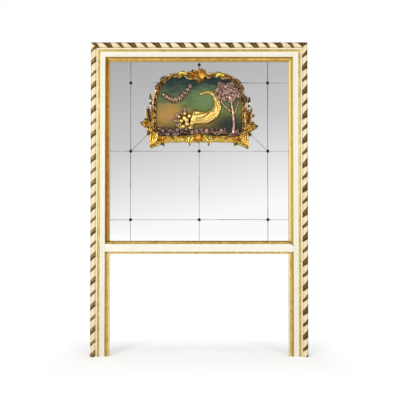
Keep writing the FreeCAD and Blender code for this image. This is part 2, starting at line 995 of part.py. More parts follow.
@functools.lru_cache(maxsize=None)
def make_crest_shell():
    """A fan of ribs over the dip of the panel, with leaves and a pendant below."""
    centre = shell_place()
    depth = overall_depth - shell_tip_depth(shell_rib_length)
    ribs = []
    for index in range(shell_rib_count):
        share = index / (shell_rib_count - 1) * 2 - 1
        reach = shell_rib_length + (shell_side_rib_length - shell_rib_length) * abs(share)
        rib = shell_rib(share * shell_spread / 2, reach)
        rib.translate(place(centre[0], depth, centre[1]))
        ribs.append(rib)
    back = disc(*centre, shell_hub_radius, (ground_front, depth + shell_rib_tip))
    hub = Part.makeSphere(2 * shell_rib_tip, place(centre[0], depth, centre[1]))
    leaves = [
        leaf(centre, spoke(centre, angle, shell_leaf_length * share),
             shell_leaf_width, 2 * shell_rib_tip, ground_front)
        for angle, share in ((-162, 1.0), (-126, 1.0), (-90, 1.1), (-54, 1.0), (-18, 1.0))
    ]
    carving = fuse([back, hub] + leaves + ribs).cut(behind(ground_front))
    foot = disc(*centre, shell_hub_radius, (cartouche_front, ground_front))
    return largest(fuse([carving, foot.cut(clear_of_ground())]))


def make_crest_scroll(side):
    """A scroll with a round eye, let into the top of the rim, with a leaf at each side."""
    centre = crest_scroll_places()[1]
    seat = cartouche_front + rim_flank
    top = seat + rim_width / 2
    shapes = [
        disc(*centre, crest_base_radius, (seat, top + crest_scroll_tube * 0.3)),
        bent_rod(*centre, crest_scroll_radius, crest_scroll_tube, top, (-40, 220)),
        knob(*centre, crest_scroll_tube * 1.3, top, crest_scroll_tube * 0.8),
    ]
    for angle, bend in ((-14, 0.12), (188, -0.12)):
        tip = spoke(centre, angle, crest_leaf_length)
        shapes.append(leaf(centre, tip, crest_leaf_width, 1.5 * crest_scroll_tube, top, bend))
    solid = largest(fuse(shapes))
    return solid if side > 0 else mirrored(solid)


def make_spray(side):
    """Flower and leaves that stand out from the side of the rim."""
    x, z = wing_places()[1]
    base = cartouche_front
    start = (x + wing_radius * 0.35, z)
    fan = [
        (84, 1.0, -0.04), (96, 0.72, 0.06), (70, 0.66, -0.10), (46, 0.50, -0.08),
        (22, 0.44, 0.06), (-4, 0.40, 0.0), (-34, 0.34, 0.05), (-64, 0.40, 0.10),
        (-92, 0.46, 0.06),
    ]
    shapes = [
        leaf(start, spoke(start, angle, spray_length * share),
             spray_leaf_width * (0.6 + 0.4 * share), spray_leaf_rise, base, bend)
        for angle, share, bend in fan
    ]
    bud = (start[0] + flower_stem, z)
    lift = spray_leaf_rise * 0.6
    for index in range(5):
        shapes.append(knob(
            *spoke(bud, 72 * index + 18, flower_radius * 0.62),
            flower_radius * 0.5, base + lift, flower_radius * 0.3,
        ))
    shapes.append(disc(*bud, flower_radius * 0.7, (base, base + lift + 2)))
    shapes.append(knob(*bud, flower_radius * 0.4, base + lift, 0.0))
    rim = block((0, panel_half_width + rim_width / 2), (0, far), (0, far))
    rail = block((0, panel_half_width + rail_reach), (0, far), (0, rail_top))
    solid = largest(fuse(shapes).cut(rim).cut(rail))
    return solid if side > 0 else mirrored(solid)


def make_corner_scroll(side):
    """A curled leaf and a scroll that hang from the end of the rail."""
    centre = corner_places()[1]
    base = cartouche_front
    root = (centre[0] - corner_radius * 0.3, centre[1] + rail_height * 0.2)
    tip = (centre[0] + corner_radius * 0.75, centre[1] - corner_leaf_length * 0.6)
    side_tip = (centre[0] - corner_radius * 1.1, centre[1] - corner_leaf_length * 0.34)
    eye = (centre[0] + corner_radius * 0.1, centre[1] - corner_scroll_radius * 1.2)
    shapes = [
        leaf(root, tip, corner_leaf_width, corner_leaf_rise, base, 0.12),
        leaf(root, side_tip, corner_leaf_width * 0.7, corner_leaf_rise * 0.7, base, -0.12),
        bent_rod(*eye, corner_scroll_radius, corner_scroll_tube, base, (100, 400)),
        disc(*eye, corner_scroll_radius, (base, base + corner_scroll_tube * 0.6)),
        knob(*eye, corner_scroll_tube * 1.2, base, 2.0),
    ]
    above = block((0, far), (0, far), (rail_bottom, far))
    solid = largest(fuse(shapes).cut(above).cut(make_base_rail()))
    return solid if side > 0 else mirrored(solid)


def scallop():
    """Middle, radius and half angle of the hollow in the rail's lower edge."""
    start, end = scallop_start * panel_half_width, scallop_end * panel_half_width
    sagitta = scallop_rise + scallop_drop
    half = (end - start) / 2
    radius = (half ** 2 + sagitta ** 2) / (2 * sagitta)
    middle = ((start + end) / 2, rail_bottom + scallop_rise - radius)
    return middle, radius, math.degrees(math.asin(half / radius))


def rail_plate():
    """The rail's body, hollowed along its lower edge."""
    half = panel_half_width + rail_reach
    start, end = scallop_start * panel_half_width, scallop_end * panel_half_width
    low = rail_bottom - scallop_drop
    top = rail_bottom + scallop_rise
    path = [
        (0, rail_top),
        (0, rail_bottom),
        (start, low),
        ((start + end) / 2, top, end, low),
        (half, rail_bottom),
        (half, rail_top),
    ]
    face = closed_face(path, lambda x, z: place(x, cartouche_front, z))
    return face.extrude(forward * rail_plate_rise)


@functools.lru_cache(maxsize=None)
def make_base_rail():
    """A rail with a bead, two hollows edged with rods, leaves, and a small shell in its middle."""
    base = cartouche_front
    middle = (0.0, rail_bottom + rail_height / 2)
    half_reach = panel_half_width + rail_reach
    bead = rail_bead_height
    bead_path = [
        (0, base),
        (0, base + rail_plate_rise),
        (bead / 2, base + rail_plate_rise + bead / 2, bead, base + rail_plate_rise),
        (bead, base),
    ]
    half = [rail_plate()]
    centre, radius, angle = scallop()
    rod = bent_rod(*centre, radius + rail_rod_tube * 0.8, rail_rod_tube,
                   base + rail_plate_rise * 0.5, (90 - angle, 90 + angle))
    half.append(rod)
    for share, length, lean in ((scallop_start, 1.0, -0.02), (scallop_end, 0.7, 0.04)):
        root = (share * panel_half_width, middle[1])
        tip = (root[0] + lean * panel_half_width, rail_bottom - rail_leaf_length * length)
        half.append(leaf(root, tip, rail_leaf_width, rail_rise, base))
    for index in range(3):
        root = ((0.30 + 0.22 * index) * panel_half_width, rail_bottom + rail_height * 0.45)
        tip = (root[0] + 0.24 * panel_half_width, rail_bottom + rail_height * 0.62)
        half.append(leaf(root, tip, rail_height * 0.5, rail_rise, base, 0.08))
    right = fuse(half)
    fan = [
        leaf(middle, spoke(middle, 30 * index - 180, rail_shell_length), rail_shell_width,
             rail_rise * 1.2, base)
        for index in range(7)
    ]
    bead_run = bar_run(bead_path, rail_top - bead, half_reach)
    return fuse([right, mirrored(right), bead_run] + fan)


# ---- relief on the panel ----

def on_panel(across_share, up_share):
    """A place on the panel, from its middle line outwards and from its rail upwards."""
    return across_share * panel_half_width, rail_top + up_share * shoulder_height


@functools.lru_cache(maxsize=None)
def outside_ground():
    """All that lies beyond the ground's outline."""
    margin = -(rim_width / 2 + ground_clearance)
    depths = (cartouche_front, overall_depth)
    everything = block((-far, far), depths, (0, far))
    return everything.cut(panel_plate(margin, depths))


def low_dome(x, z, radius, rise):
    """The cap of a ball, standing a rise above the ground."""
    return Part.makeSphere(radius, place(x, ground_front + rise - radius, z))


def carved(shapes):
    """Carving that is flat behind and stays inside the rim."""
    return largest(fuse(shapes).cut(behind(ground_front)).cut(outside_ground()))


@functools.lru_cache(maxsize=None)
def make_rocks():
    """Low mounds along the foot of the panel."""
    shapes = []
    for index in range(12):
        x, z = on_panel(-0.92 + index * 0.167, 0.02 + 0.03 * math.sin(index * 2.4))
        radius = mound_radius * (0.95 + 0.25 * math.sin(index * 1.7))
        shapes.append(low_dome(x, z, radius, mound_rise * (1 + 0.25 * math.sin(index * 2.9))))
    return carved(shapes)


def horn_line(part):
    """Middle of the horn, from its tail, at 0, to its mouth, at 1."""
    points = [on_panel(0.06, 0.74), on_panel(0.50, 0.92), on_panel(0.62, 0.16),
              on_panel(-0.16, 0.34)]
    rest = 1 - part
    weights = [rest ** 3, 3 * part * rest ** 2, 3 * part ** 2 * rest, part ** 3]
    x = sum(weight * point[0] for weight, point in zip(weights, points))
    z = sum(weight * point[1] for weight, point in zip(weights, points))
    return x, z


@functools.lru_cache(maxsize=None)
def make_horn():
    """A horn that widens from its tail to its mouth, flat behind, with raised rings."""
    rings = []
    steps = 22
    corners = 9
    for index in range(steps):
        part = index / (steps - 1)
        x, z = horn_line(part)
        near_x, near_z = horn_line(part + 0.01)
        length = math.hypot(near_x - x, near_z - z)
        side_x, side_z = (z - near_z) / length, (near_x - x) / length
        raised = horn_ring_tube if index in (9, 15, steps - 1) else 0.0
        radius = horn_tail_radius + (horn_mouth_radius - horn_tail_radius) * part ** 1.2 + raised
        rise = (horn_rise + raised) * radius / (horn_mouth_radius + raised)
        rings.append([
            place(
                x + side_x * radius * math.cos(math.pi * corner / (corners - 1)),
                ground_front + rise * math.sin(math.pi * corner / (corners - 1)),
                z + side_z * radius * math.cos(math.pi * corner / (corners - 1)),
            )
            for corner in range(corners)
        ])
    return largest(faceted(rings).cut(make_rocks()))


def make_fruit():
    """Round fruit that spills from the horn's mouth."""
    mouth = horn_line(1.0)
    centre = (mouth[0] - horn_mouth_radius * 0.9, mouth[1] - horn_mouth_radius * 0.6)
    shapes = []
    for index in range(13):
        radius = fruit_radius * (1.0 - 0.025 * index)
        place_here = spoke(centre, index * 137.5, fruit_radius * 0.95 * math.sqrt(index))
        shapes.append(knob(*place_here, radius, ground_front, radius * 0.9))
    for angle, share in ((150, 1.0), (176, 1.1), (204, 1.0), (100, 0.9)):
        root = spoke(centre, angle, fruit_radius * 2)
        tip = spoke(centre, angle, fruit_radius * (2 + 3.2 * share))
        shapes.append(leaf(root, tip, fruit_radius * 1.5, trunk_rise, ground_front))
    cluster = fuse(shapes).cut(make_horn()).cut(make_rocks()).cut(outside_ground())
    return largest(cluster)


def make_tree():
    """A leaning trunk with two boughs and round masses of leaves."""
    shapes = [
        leaf(on_panel(0.76, 0.06), on_panel(0.66, 0.74), trunk_width, trunk_rise,
             ground_front, 0.06),
        leaf(on_panel(0.71, 0.44), on_panel(0.46, 0.76), trunk_width * 0.7, trunk_rise,
             ground_front, -0.10),
        leaf(on_panel(0.72, 0.36), on_panel(0.88, 0.60), trunk_width * 0.6, trunk_rise,
             ground_front, 0.10),
    ]
    for index in range(18):
        spread = 0.045 * math.sqrt(index)
        x, z = on_panel(
            0.64 + 1.5 * spread * math.cos(index * 2.4),
            0.74 + 0.9 * spread * math.sin(index * 2.4),
        )
        radius = foliage_radius * (1 + 0.2 * math.sin(index * 3.1))
        shapes.append(low_dome(x, z, radius, foliage_rise * (1 - 0.03 * index)))
    tree = carved(shapes)
    return largest(tree.cut(make_rocks()).cut(make_horn()))


def make_garland():
    """A swag of leaves and berries across the upper left of the panel."""
    shapes = []
    count = 11
    for index in range(count):
        part = index / (count - 1)
        sag = 0.16 * math.sin(math.pi * part)
        x, z = on_panel(-0.80 + 0.60 * part, 0.72 + 0.15 * part - sag)
        turn = 75 if index % 2 else -55
        for angle in (turn, turn + 180 - 30):
            tip = spoke((x, z), angle, garland_leaf_length * 0.7)
            shapes.append(leaf((x, z), tip, garland_leaf_width * 0.7, garland_leaf_rise,
                               ground_front))
        along = leaf((x - garland_leaf_length / 2, z), (x + garland_leaf_length / 2, z),
                     garland_leaf_width, garland_leaf_rise * 0.8, ground_front)
        shapes.append(along)
        shapes.append(knob(x, z, berry_radius, ground_front, berry_radius * 0.5))
    return carved(shapes)


# ---- hangers and pads on the back ----

def strap_screw_heights():
    first = hanger_height - strap_screw_drop
    return [first, first - strap_screw_spacing]


def hanger_axis_depth():
    return pad_thickness - knuckle_standoff


def make_strap(side):
    """A plate on the back of the stile with a rolled knuckle at its top."""
    x = side * stile_middle
    start = place(x - strap_width / 2, hanger_axis_depth(), hanger_height)
    tail = block(
        (x - strap_width / 2, x + strap_width / 2),
        (pad_thickness - strap_thickness, pad_thickness),
        (hanger_height - strap_length, hanger_height),
    )
    knuckle = Part.makeCylinder(knuckle_radius, strap_width, start, across)
    bore = Part.makeCylinder(knuckle_bore, strap_width, start, across)
    strap = fuse([tail, knuckle]).cut(bore)
    for z in strap_screw_heights():
        hole = disc(x, z, strap_screw_radius + screw_clearance, (0, pad_thickness))
        strap = strap.cut(hole)
    return strap


def make_ring(side):
    """A D-shaped ring of round wire whose straight bar turns in the knuckle."""
    x = side * stile_middle
    depth = hanger_axis_depth()
    bar = ring_half_width - ring_corner_radius
    turn = ring_corner_radius * (1 - math.sqrt(0.5))
    side_end = -ring_corner_radius - ring_side
    quarter = ring_half_width * math.sqrt(0.5)
    path = [
        (0.0, 0.0),
        (bar, 0.0),
        (ring_half_width - turn, -turn, ring_half_width, -ring_corner_radius),
        (ring_half_width, side_end),
        (quarter, side_end - quarter, 0.0, side_end - ring_half_width),
    ]
    halves = []
    for hand in (-1, 1):
        edges = chain(path, lambda u, v, hand=hand: place(x + hand * u, depth, hanger_height + v))
        spine = Part.Wire(edges)
        start = place(x, depth, hanger_height)
        circle = Part.Face(Part.Wire(Part.makeCircle(ring_wire_radius, start, across * hand)))
        halves.append(spine.makePipe(circle))
    return fuse(halves)


def make_strap_screws():
    screws = []
    for side in (-1, 1):
        for z in strap_screw_heights():
            screws.append(slotted_screw(
                side * stile_middle, z, pad_thickness - strap_thickness, forward * -1,
                (strap_screw_radius, strap_thickness + strap_screw_grip),
                (strap_screw_head_radius, strap_screw_head_height),
            ))
    return Part.makeCompound(screws)


def make_pads():
    heights = [pad_end_distance, carcass_top / 2, carcass_top - pad_end_distance]
    return Part.makeCompound([
        disc(side * stile_middle, z, pad_radius, (0, pad_thickness))
        for side in (-1, 1) for z in heights
    ])


# ---- the whole mirror ----

def make_parts():
    parts = {}
    parts.update({"left_stile": make_stile(-1), "right_stile": make_stile(1)})
    parts.update({name: make_rail(name) for name in rails()})
    parts.update(make_back_boards())

    parts.update(sided("rope_moulding", make_rope_side))
    parts["rope_moulding_top"] = make_rope_top()
    for name, path in (("cream_moulding", cream_section()), ("gilt_bead", bead_section())):
        parts.update(sided(
            name, lambda side, path=path: mitre_side(stile_run(path, side, 0, frame_height), side)
        ))
        parts[name + "_top"] = mitre_top(top_run(path))
    parts.update(sided("sight_moulding", make_sight_side))
    parts["sight_moulding_top"] = mitre_top(top_run(sight_section()))
    parts.update(sided("leg_moulding", make_leg_side))
    parts["crossbar_face"] = make_crossbar_face()
    parts["crossbar_upper_bead"] = make_upper_bead()
    parts["crossbar_lower_bead"] = make_lower_bead()

    parts.update(make_plates())
    parts["rosettes"] = Part.makeCompound([make_rosette(x, z) for x, z in rosette_places()])
    parts["rosette_screws"] = Part.makeCompound(
        [make_rosette_screw(x, z) for x, z in rosette_places()]
    )

    parts["cartouche_board"] = make_cartouche_board()
    parts["relief_ground"] = make_ground()
    parts.update(sided("cartouche_rim", make_rim))
    parts["cartouche_base_rail"] = make_base_rail()
    parts["crest_shell"] = make_crest_shell()
    parts.update(sided("crest_scroll", make_crest_scroll))
    parts.update(sided("side_spray", make_spray))
    parts.update(sided("corner_scroll", make_corner_scroll))
    parts["relief_rocks"] = make_rocks()
    parts["relief_horn"] = make_horn()
    parts["relief_fruit"] = make_fruit()
    parts["relief_tree"] = make_tree()
    parts["relief_garland"] = make_garland()

    parts["hanger_straps"] = Part.makeCompound([make_strap(-1), make_strap(1)])
    parts["hanger_screws"] = make_strap_screws()
    parts.update(sided("hanging_ring", make_ring))
    parts["wall_pads"] = make_pads()
    return parts


os.makedirs("parts", exist_ok=True)
for node, shape in make_parts().items():
    shape.exportStep("parts/" + node + ".step")
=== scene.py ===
"""Looks of the trumeau mirror: paint, gold leaf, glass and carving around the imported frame.

Metres, in the frame's own axes: +Z up, the mirror faces -Y, the origin is on the floor.
"""

import math
import random

import bmesh
import bpy
from mathutils import Matrix, Vector, noise


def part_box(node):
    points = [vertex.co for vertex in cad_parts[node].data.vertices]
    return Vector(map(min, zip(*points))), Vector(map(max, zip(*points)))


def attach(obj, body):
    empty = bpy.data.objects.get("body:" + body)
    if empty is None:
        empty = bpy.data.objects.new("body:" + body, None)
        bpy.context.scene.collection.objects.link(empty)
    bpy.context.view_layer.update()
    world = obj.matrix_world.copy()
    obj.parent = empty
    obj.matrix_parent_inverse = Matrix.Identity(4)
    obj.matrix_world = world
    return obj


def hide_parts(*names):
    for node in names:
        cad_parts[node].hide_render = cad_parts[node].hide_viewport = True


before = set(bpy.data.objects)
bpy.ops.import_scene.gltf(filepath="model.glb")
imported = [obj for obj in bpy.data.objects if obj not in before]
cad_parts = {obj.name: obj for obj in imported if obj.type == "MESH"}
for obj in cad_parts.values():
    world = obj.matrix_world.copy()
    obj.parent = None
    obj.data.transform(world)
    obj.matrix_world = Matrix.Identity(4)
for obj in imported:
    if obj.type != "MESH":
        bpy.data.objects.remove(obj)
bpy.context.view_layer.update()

MM = 0.001
SIDES = ((-1, "left"), (1, "right"))

# ---- places that the carving shares with the frame ----

rope_low, rope_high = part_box("rope_moulding_left")
sight_low, sight_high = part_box("sight_moulding_left")
lip_low, lip_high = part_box("sight_moulding_top")
ground_low, ground_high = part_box("relief_ground")
top_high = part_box("rope_moulding_top")[1]
rail_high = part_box("cartouche_base_rail")[1]
board_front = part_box("cartouche_board")[0].y
bar_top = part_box("crossbar_upper_bead")[1].z

frame_half = top_high.x
frame_top = top_high.z
glass_half = -sight_high.x
glass_top = lip_low.z
sight_outer = -sight_low.x
sight_outer_top = lip_high.z
ground_front = ground_low.y
rail_top = rail_high.z
rail_half = rail_high.x

# rope moulding
rope_width = rope_high.x - rope_low.x
rope_radius = rope_width / 2
rope_inset = 2.4 * MM
ribbon_pitch = 195 * MM
wide_ribbon = 47 * MM
narrow_ribbon = 27 * MM
flank_thinning = 0.9
# rows along the rope's outer edge that take its painted shade
outer_shade_rows = 5
left_ribbon_start = 15 * MM
right_ribbon_start = 169 * MM
top_ribbon_start = 139 * MM

# panel of the cartouche, heights above its rail
panel_half = 356 * MM
side_height = 250 * MM
shoulder = (264 * MM, 456 * MM)
lobe_top = (132 * MM, 487 * MM)
dip = (0.0, 430 * MM)
crest_scroll_places = {-1: (135 * MM, 506 * MM), 1: (166 * MM, 494 * MM)}
rim_sprig_places = {
    -1: [(271 * MM, 435 * MM), (307 * MM, 387 * MM)],
    1: [(293 * MM, 419 * MM), (321 * MM, 375 * MM), (353 * MM, 288 * MM)],
}
rim_end = 66 * MM
spire_places = {-1: 391, 1: 402}
corner_place = (358 * MM, -42 * MM)
sprig_fan = ((-74, 36), (70, 38), (0, 29), (112, 32), (-122, 30), (34, 34), (-36, 32))

# how finely the carving is cut
board_voxel = 1.8 * MM
relief_voxel = 1.6 * MM
spray_voxel = 1.5 * MM
carver_unevenness = 0.5 * MM

# each next fruit or leaf of a heap is turned by this much, so that none hides another
golden_angle = 137.5

# how softly a painted line along a moulding starts and ends
line_blur = 1.5 * MM

# the light that the floor gives of itself, as the camera and the mirror see it
floor_lift = 0.33

# ---- shader nodes ----

def fill(tree, item, inputs):
    """Gives a node's inputs their values, or links them to other nodes' sockets."""
    for name, value in inputs.items():
        if isinstance(value, bpy.types.NodeSocket):
            tree.links.new(value, item.inputs[name])
        else:
            item.inputs[name].default_value = value


def add(tree, kind, inputs=None, **settings):
    """A node with its settings and its inputs."""
    item = tree.nodes.new(kind)
    for name, value in settings.items():
        setattr(item, name, value)
    fill(tree, item, inputs or {})
    return item


def calc(tree, operation, first, second=0.0):
    return add(tree, "ShaderNodeMath", {0: first, 1: second}, operation=operation).outputs[0]


def vector_calc(tree, operation, first, second):
    return add(tree, "ShaderNodeVectorMath", {0: first, 1: second}, operation=operation).outputs


def span(tree, value, low, high, to_low=0.0, to_high=1.0):
    """A value moved from one range to another, and held inside it."""
    item = add(tree, "ShaderNodeMapRange", {
        "Value": value, "From Min": low, "From Max": high, "To Min": to_low, "To Max": to_high,
    })
    return item.outputs["Result"]


def blend_colour(tree, share, first, second):
    """The first colour where the share is 0 and the second where it is 1."""
    first, second = ((*end, 1.0) if isinstance(end, tuple) else end for end in (first, second))
    mix = add(tree, "ShaderNodeMix", {0: share, 6: first, 7: second}, data_type="RGBA")
    return mix.outputs[2]


def lay_over(tree, colour, mask, strength, tone):
    """A colour with a tone over it, as strong as the strength where the mask is 1."""
    return blend_colour(tree, calc(tree, "MULTIPLY", mask, strength), colour, tone)


def surface_point(tree):
    """The place on the piece, in the piece's own axes."""
    return add(tree, "ShaderNodeTexCoord").outputs["Object"]


def surface_normal(tree):
    return add(tree, "ShaderNodeNewGeometry").outputs["Normal"]


def split(tree, vector):
    """X, Y and Z of a vector."""
    return add(tree, "ShaderNodeSeparateXYZ", {"Vector": vector}).outputs


def cloud_at(tree, place, scale, detail, rough=0.5):
    """Soft noise between 0 and 1."""
    return add(tree, "ShaderNodeTexNoise", {
        "Vector": place, "Scale": scale, "Detail": detail, "Roughness": rough,
    }).outputs["Fac"]


def colour_ramp(tree, share, stops):
    """A colour that follows a share through stops, each a position and a colour."""
    ramp = add(tree, "ShaderNodeValToRGB", {"Fac": share})
    elements = ramp.color_ramp.elements
    elements.remove(elements[0])
    elements[0].position = stops[0][0]
    elements[0].color = (*stops[0][1], 1.0)
    for position, colour in stops[1:]:
        elements.new(position).color = (*colour, 1.0)
    return ramp.outputs["Color"]


# ---- shader groups ----

FLOAT = "NodeSocketFloat"
VECTOR = "NodeSocketVector"


def new_group(name, inputs, outputs=(("Mask", FLOAT),)):
    """An empty shader group with its named inputs and outputs."""
    tree = bpy.data.node_groups.new(name, "ShaderNodeTree")
    for label, kind, value in inputs:
        socket = tree.interface.new_socket(name=label, in_out="INPUT", socket_type=kind)
        socket.default_value = value
    for label, kind in outputs:
        tree.interface.new_socket(name=label, in_out="OUTPUT", socket_type=kind)
    return tree, tree.nodes.new("NodeGroupInput").outputs, tree.nodes.new("NodeGroupOutput")


def make_mottle_group():
    """Cloudy patches, stretched along an axis where the stretch says so."""
    tree, given, result = new_group("patches", [
        ("Scale", FLOAT, 10.0), ("Stretch", VECTOR, (1, 1, 1)), ("Low", FLOAT, 0.4),
        ("High", FLOAT, 0.6),
    ])
    stretched = vector_calc(tree, "MULTIPLY", surface_point(tree), given["Stretch"])[0]
    cloud = cloud_at(tree, stretched, given["Scale"], 5.0, 0.6)
    fill(tree, result, {"Mask": span(tree, cloud, given["Low"], given["High"])})
    return tree


def make_hollow_group():
    """How closed in a surface is: 0 on open surfaces and 1 deep in the carving; it places dirt and
    painted shade in the hollows.
    """
    tree, given, result = new_group("hollows", [
        ("Reach", FLOAT, 0.01), ("Low", FLOAT, 0.15), ("High", FLOAT, 0.8),
    ])
    open_share = add(tree, "ShaderNodeAmbientOcclusion", {"Distance": given["Reach"]}, samples=8)
    closed = calc(tree, "SUBTRACT", 1.0, open_share.outputs["AO"])
    fill(tree, result, {"Mask": span(tree, closed, given["Low"], given["High"])})
    return tree


def make_edge_group():
    """Where hands and dusters rub: along the edges, broken up by patches. On the glass the same
    edges are painted shade in the seams.
    """
    tree, given, result = new_group("edge wear and seam shade", [
        ("Radius", FLOAT, 0.002), ("Scale", FLOAT, 60.0),
    ])
    rounded = add(tree, "ShaderNodeBevel", {"Radius": given["Radius"]}, samples=6)
    facing = vector_calc(tree, "DOT_PRODUCT", rounded.outputs["Normal"], surface_normal(tree))
    turned = calc(tree, "SUBTRACT", 1.0, facing["Value"])
    cloud = cloud_at(tree, surface_point(tree), given["Scale"], 4.0, 0.7)
    edge = span(tree, turned, 0.02, 0.12)
    fill(tree, result, {"Mask": calc(tree, "MULTIPLY", edge, span(tree, cloud, 0.48, 0.62))})
    return tree


def make_grain_group():
    """Planks: long grain with darker late wood, along the axis where the stretch is small."""
    tree, given, result = new_group(
        "wood grain", [("Scale", FLOAT, 30.0), ("Stretch", VECTOR, (1, 1, 0.04))],
        [("Mask", FLOAT), ("Height", FLOAT)],
    )
    stretched = vector_calc(tree, "MULTIPLY", surface_point(tree), given["Stretch"])[0]
    wander = cloud_at(tree, stretched, calc(tree, "MULTIPLY", given["Scale"], 0.25), 3.0)
    shifted = vector_calc(tree, "ADD", stretched, calc(tree, "MULTIPLY", wander, 0.25))[0]
    rings = add(tree, "ShaderNodeTexWave", {
        "Vector": shifted, "Scale": given["Scale"], "Distortion": 3.0, "Detail": 3.0,
        "Detail Scale": 2.0,
    }, wave_profile="SAW")
    fibre = cloud_at(tree, stretched, calc(tree, "MULTIPLY", given["Scale"], 12.0), 2.0)
    mask = calc(tree, "MULTIPLY", rings.outputs["Fac"], span(tree, fibre, 0.2, 0.8, 0.6, 1.0))
    fill(tree, result, {"Mask": mask, "Height": fibre})
    return tree


def make_flank_group():
    """The steep sides of a carving, where painted shade goes: 0 on what faces forward and 1 on what
    faces aside.
    """
    tree, given, result = new_group("flanks", [("Low", FLOAT, 0.25), ("High", FLOAT, 0.7)])
    facing = calc(tree, "ABSOLUTE", split(tree, surface_normal(tree))["Y"])
    aside = calc(tree, "SUBTRACT", 1.0, facing)
    fill(tree, result, {"Mask": span(tree, aside, given["Low"], given["High"])})
    return tree


def make_line_group():
    """A line along the mouldings: 1 between two distances outside an opening, and 0 elsewhere.

    The opening is twice the half wide, and reaches up to the top.
    """
    tree, given, result = new_group("moulding lines", [
        ("Half", FLOAT, glass_half), ("Top", FLOAT, glass_top), ("Low", FLOAT, 0.0),
        ("High", FLOAT, 0.01), ("Blur", FLOAT, line_blur),
    ])
    parts = split(tree, surface_point(tree))
    beside = calc(tree, "SUBTRACT", calc(tree, "ABSOLUTE", parts["X"]), given["Half"])
    distance = calc(tree, "MAXIMUM", beside, calc(tree, "SUBTRACT", parts["Z"], given["Top"]))
    masks = []
    for edge, before, after in (("Low", "SUBTRACT", "ADD"), ("High", "ADD", "SUBTRACT")):
        masks.append(span(tree, distance, calc(tree, before, given[edge], given["Blur"]),
                          calc(tree, after, given[edge], given["Blur"])))
    fill(tree, result, {"Mask": calc(tree, "MULTIPLY", *masks)})
    return tree


patches = make_mottle_group()
hollows = make_hollow_group()
edge_wear_and_seam_shade = make_edge_group()
wood_grain = make_grain_group()
flanks = make_flank_group()
moulding_lines = make_line_group()


def place_group(tree, group, output="Mask", **inputs):
    """A group's output, placed in a material with its own values."""
    item = add(tree, "ShaderNodeGroup", node_tree=group)
    fill(tree, item, {name.capitalize(): value for name, value in inputs.items()})
    return item.outputs[output]


# ---- materials ----

def new_material(name):
    material = bpy.data.materials.new(name)
    material.use_nodes = True
    tree = material.node_tree
    return material, tree, tree.nodes["Principled BSDF"]


def bump(tree, height, distance):
    """The direction of a surface that a height roughens."""
    return add(tree, "ShaderNodeBump", {
        "Height": height, "Distance": distance, "Strength": 1.0,
    }).outputs["Normal"]


def paint(name, clean, aged, worn, lines=()):
    """Brushed paint on gesso: a little uneven, yellowed and darkened in the hollows by dirt and
    painted shade, and rubbed at the edges.

    Lines are bands along the moulding, by their distance from the gilding round the glass.
    """
    material, tree, surface = new_material(name)
    cloud = place_group(tree, patches, scale=7.0, low=0.38, high=0.68)
    colour = blend_colour(tree, cloud, clean, aged)
    for low, high, blur, share, tone in lines:
        band = place_group(tree, moulding_lines, half=sight_outer, top=sight_outer_top,
                           low=low * MM, high=high * MM, blur=blur * MM)
        colour = lay_over(tree, colour, band, share, tone)
    # dirt and painted shade: the worn tone yellows and darkens the hollows
    dirt_and_shade = place_group(tree, hollows, reach=0.020, low=0.20, high=0.85)
    specks = place_group(tree, patches, scale=90.0, low=0.52, high=0.74)
    dirt_and_shade = calc(tree, "MULTIPLY", dirt_and_shade, span(tree, specks, 0.0, 1.0, 0.35, 0.8))
    colour = blend_colour(tree, dirt_and_shade, colour, worn)
    edge = place_group(tree, edge_wear_and_seam_shade, radius=0.0018, scale=45.0)
    marks = place_group(tree, patches, scale=260.0, stretch=(1, 1, 0.08), low=0.2, high=0.8)
    fill(tree, surface, {
        "Base Color": lay_over(tree, colour, edge, 0.75, worn),
        "Roughness": span(tree, marks, 0.0, 1.0, 0.42, 0.58),
        "Specular IOR Level": 0.35,
        "Normal": bump(tree, marks, 0.0003),
    })
    return material


def gold_leaf(name, bright, deep, shade, bole, reach, metal=0.85, rough=0.34, dirt_and_shade_low=0.12,
              mottle=28.0, flank_shade=0.0, lines=()):
    """Aged gold leaf: bright where it stands proud, brown in the hollows by dirt and painted shade,
    red clay at the edges.

    Painted shade darkens the steep sides. Lines are bands of painted light and shade along the
    moulding, by their distance from the glass.
    """
    material, tree, surface = new_material(name)
    cloud = place_group(tree, patches, scale=mottle, low=0.36, high=0.64)
    colour = blend_colour(tree, cloud, bright, deep)
    # painted light and shade in bands across the moulding's profile
    for low, high, tone in lines:
        band = place_group(tree, moulding_lines, low=low * MM, high=high * MM)
        colour = lay_over(tree, colour, band, 0.9, tone)
    edge = place_group(tree, edge_wear_and_seam_shade, radius=0.0015, scale=70.0)
    colour = lay_over(tree, colour, edge, 0.55, bole)
    # dirt and painted shade: the hollows turn to the shade colour
    dirt_and_shade = place_group(tree, hollows, reach=reach, low=dirt_and_shade_low, high=0.55)
    # painted shade: the steep sides turn brown
    if flank_shade:
        brown = tuple((channel + other) / 2 for channel, other in zip(bole, shade))
        side = place_group(tree, flanks, low=0.10, high=0.52)
        colour = lay_over(tree, colour, side, flank_shade, brown)
    fine = place_group(tree, patches, scale=160.0, low=0.3, high=0.7)
    fill(tree, surface, {
        "Base Color": blend_colour(tree, dirt_and_shade, colour, shade),
        "Metallic": span(tree, dirt_and_shade, 0.0, 1.0, metal, metal * 0.35),
        "Roughness": calc(tree, "ADD", span(tree, fine, 0.0, 1.0, rough - 0.08, rough + 0.1),
                          calc(tree, "MULTIPLY", dirt_and_shade, 0.25)),
        "Specular IOR Level": 0.15,
        "Normal": bump(tree, fine, 0.00035),
    })
    return material


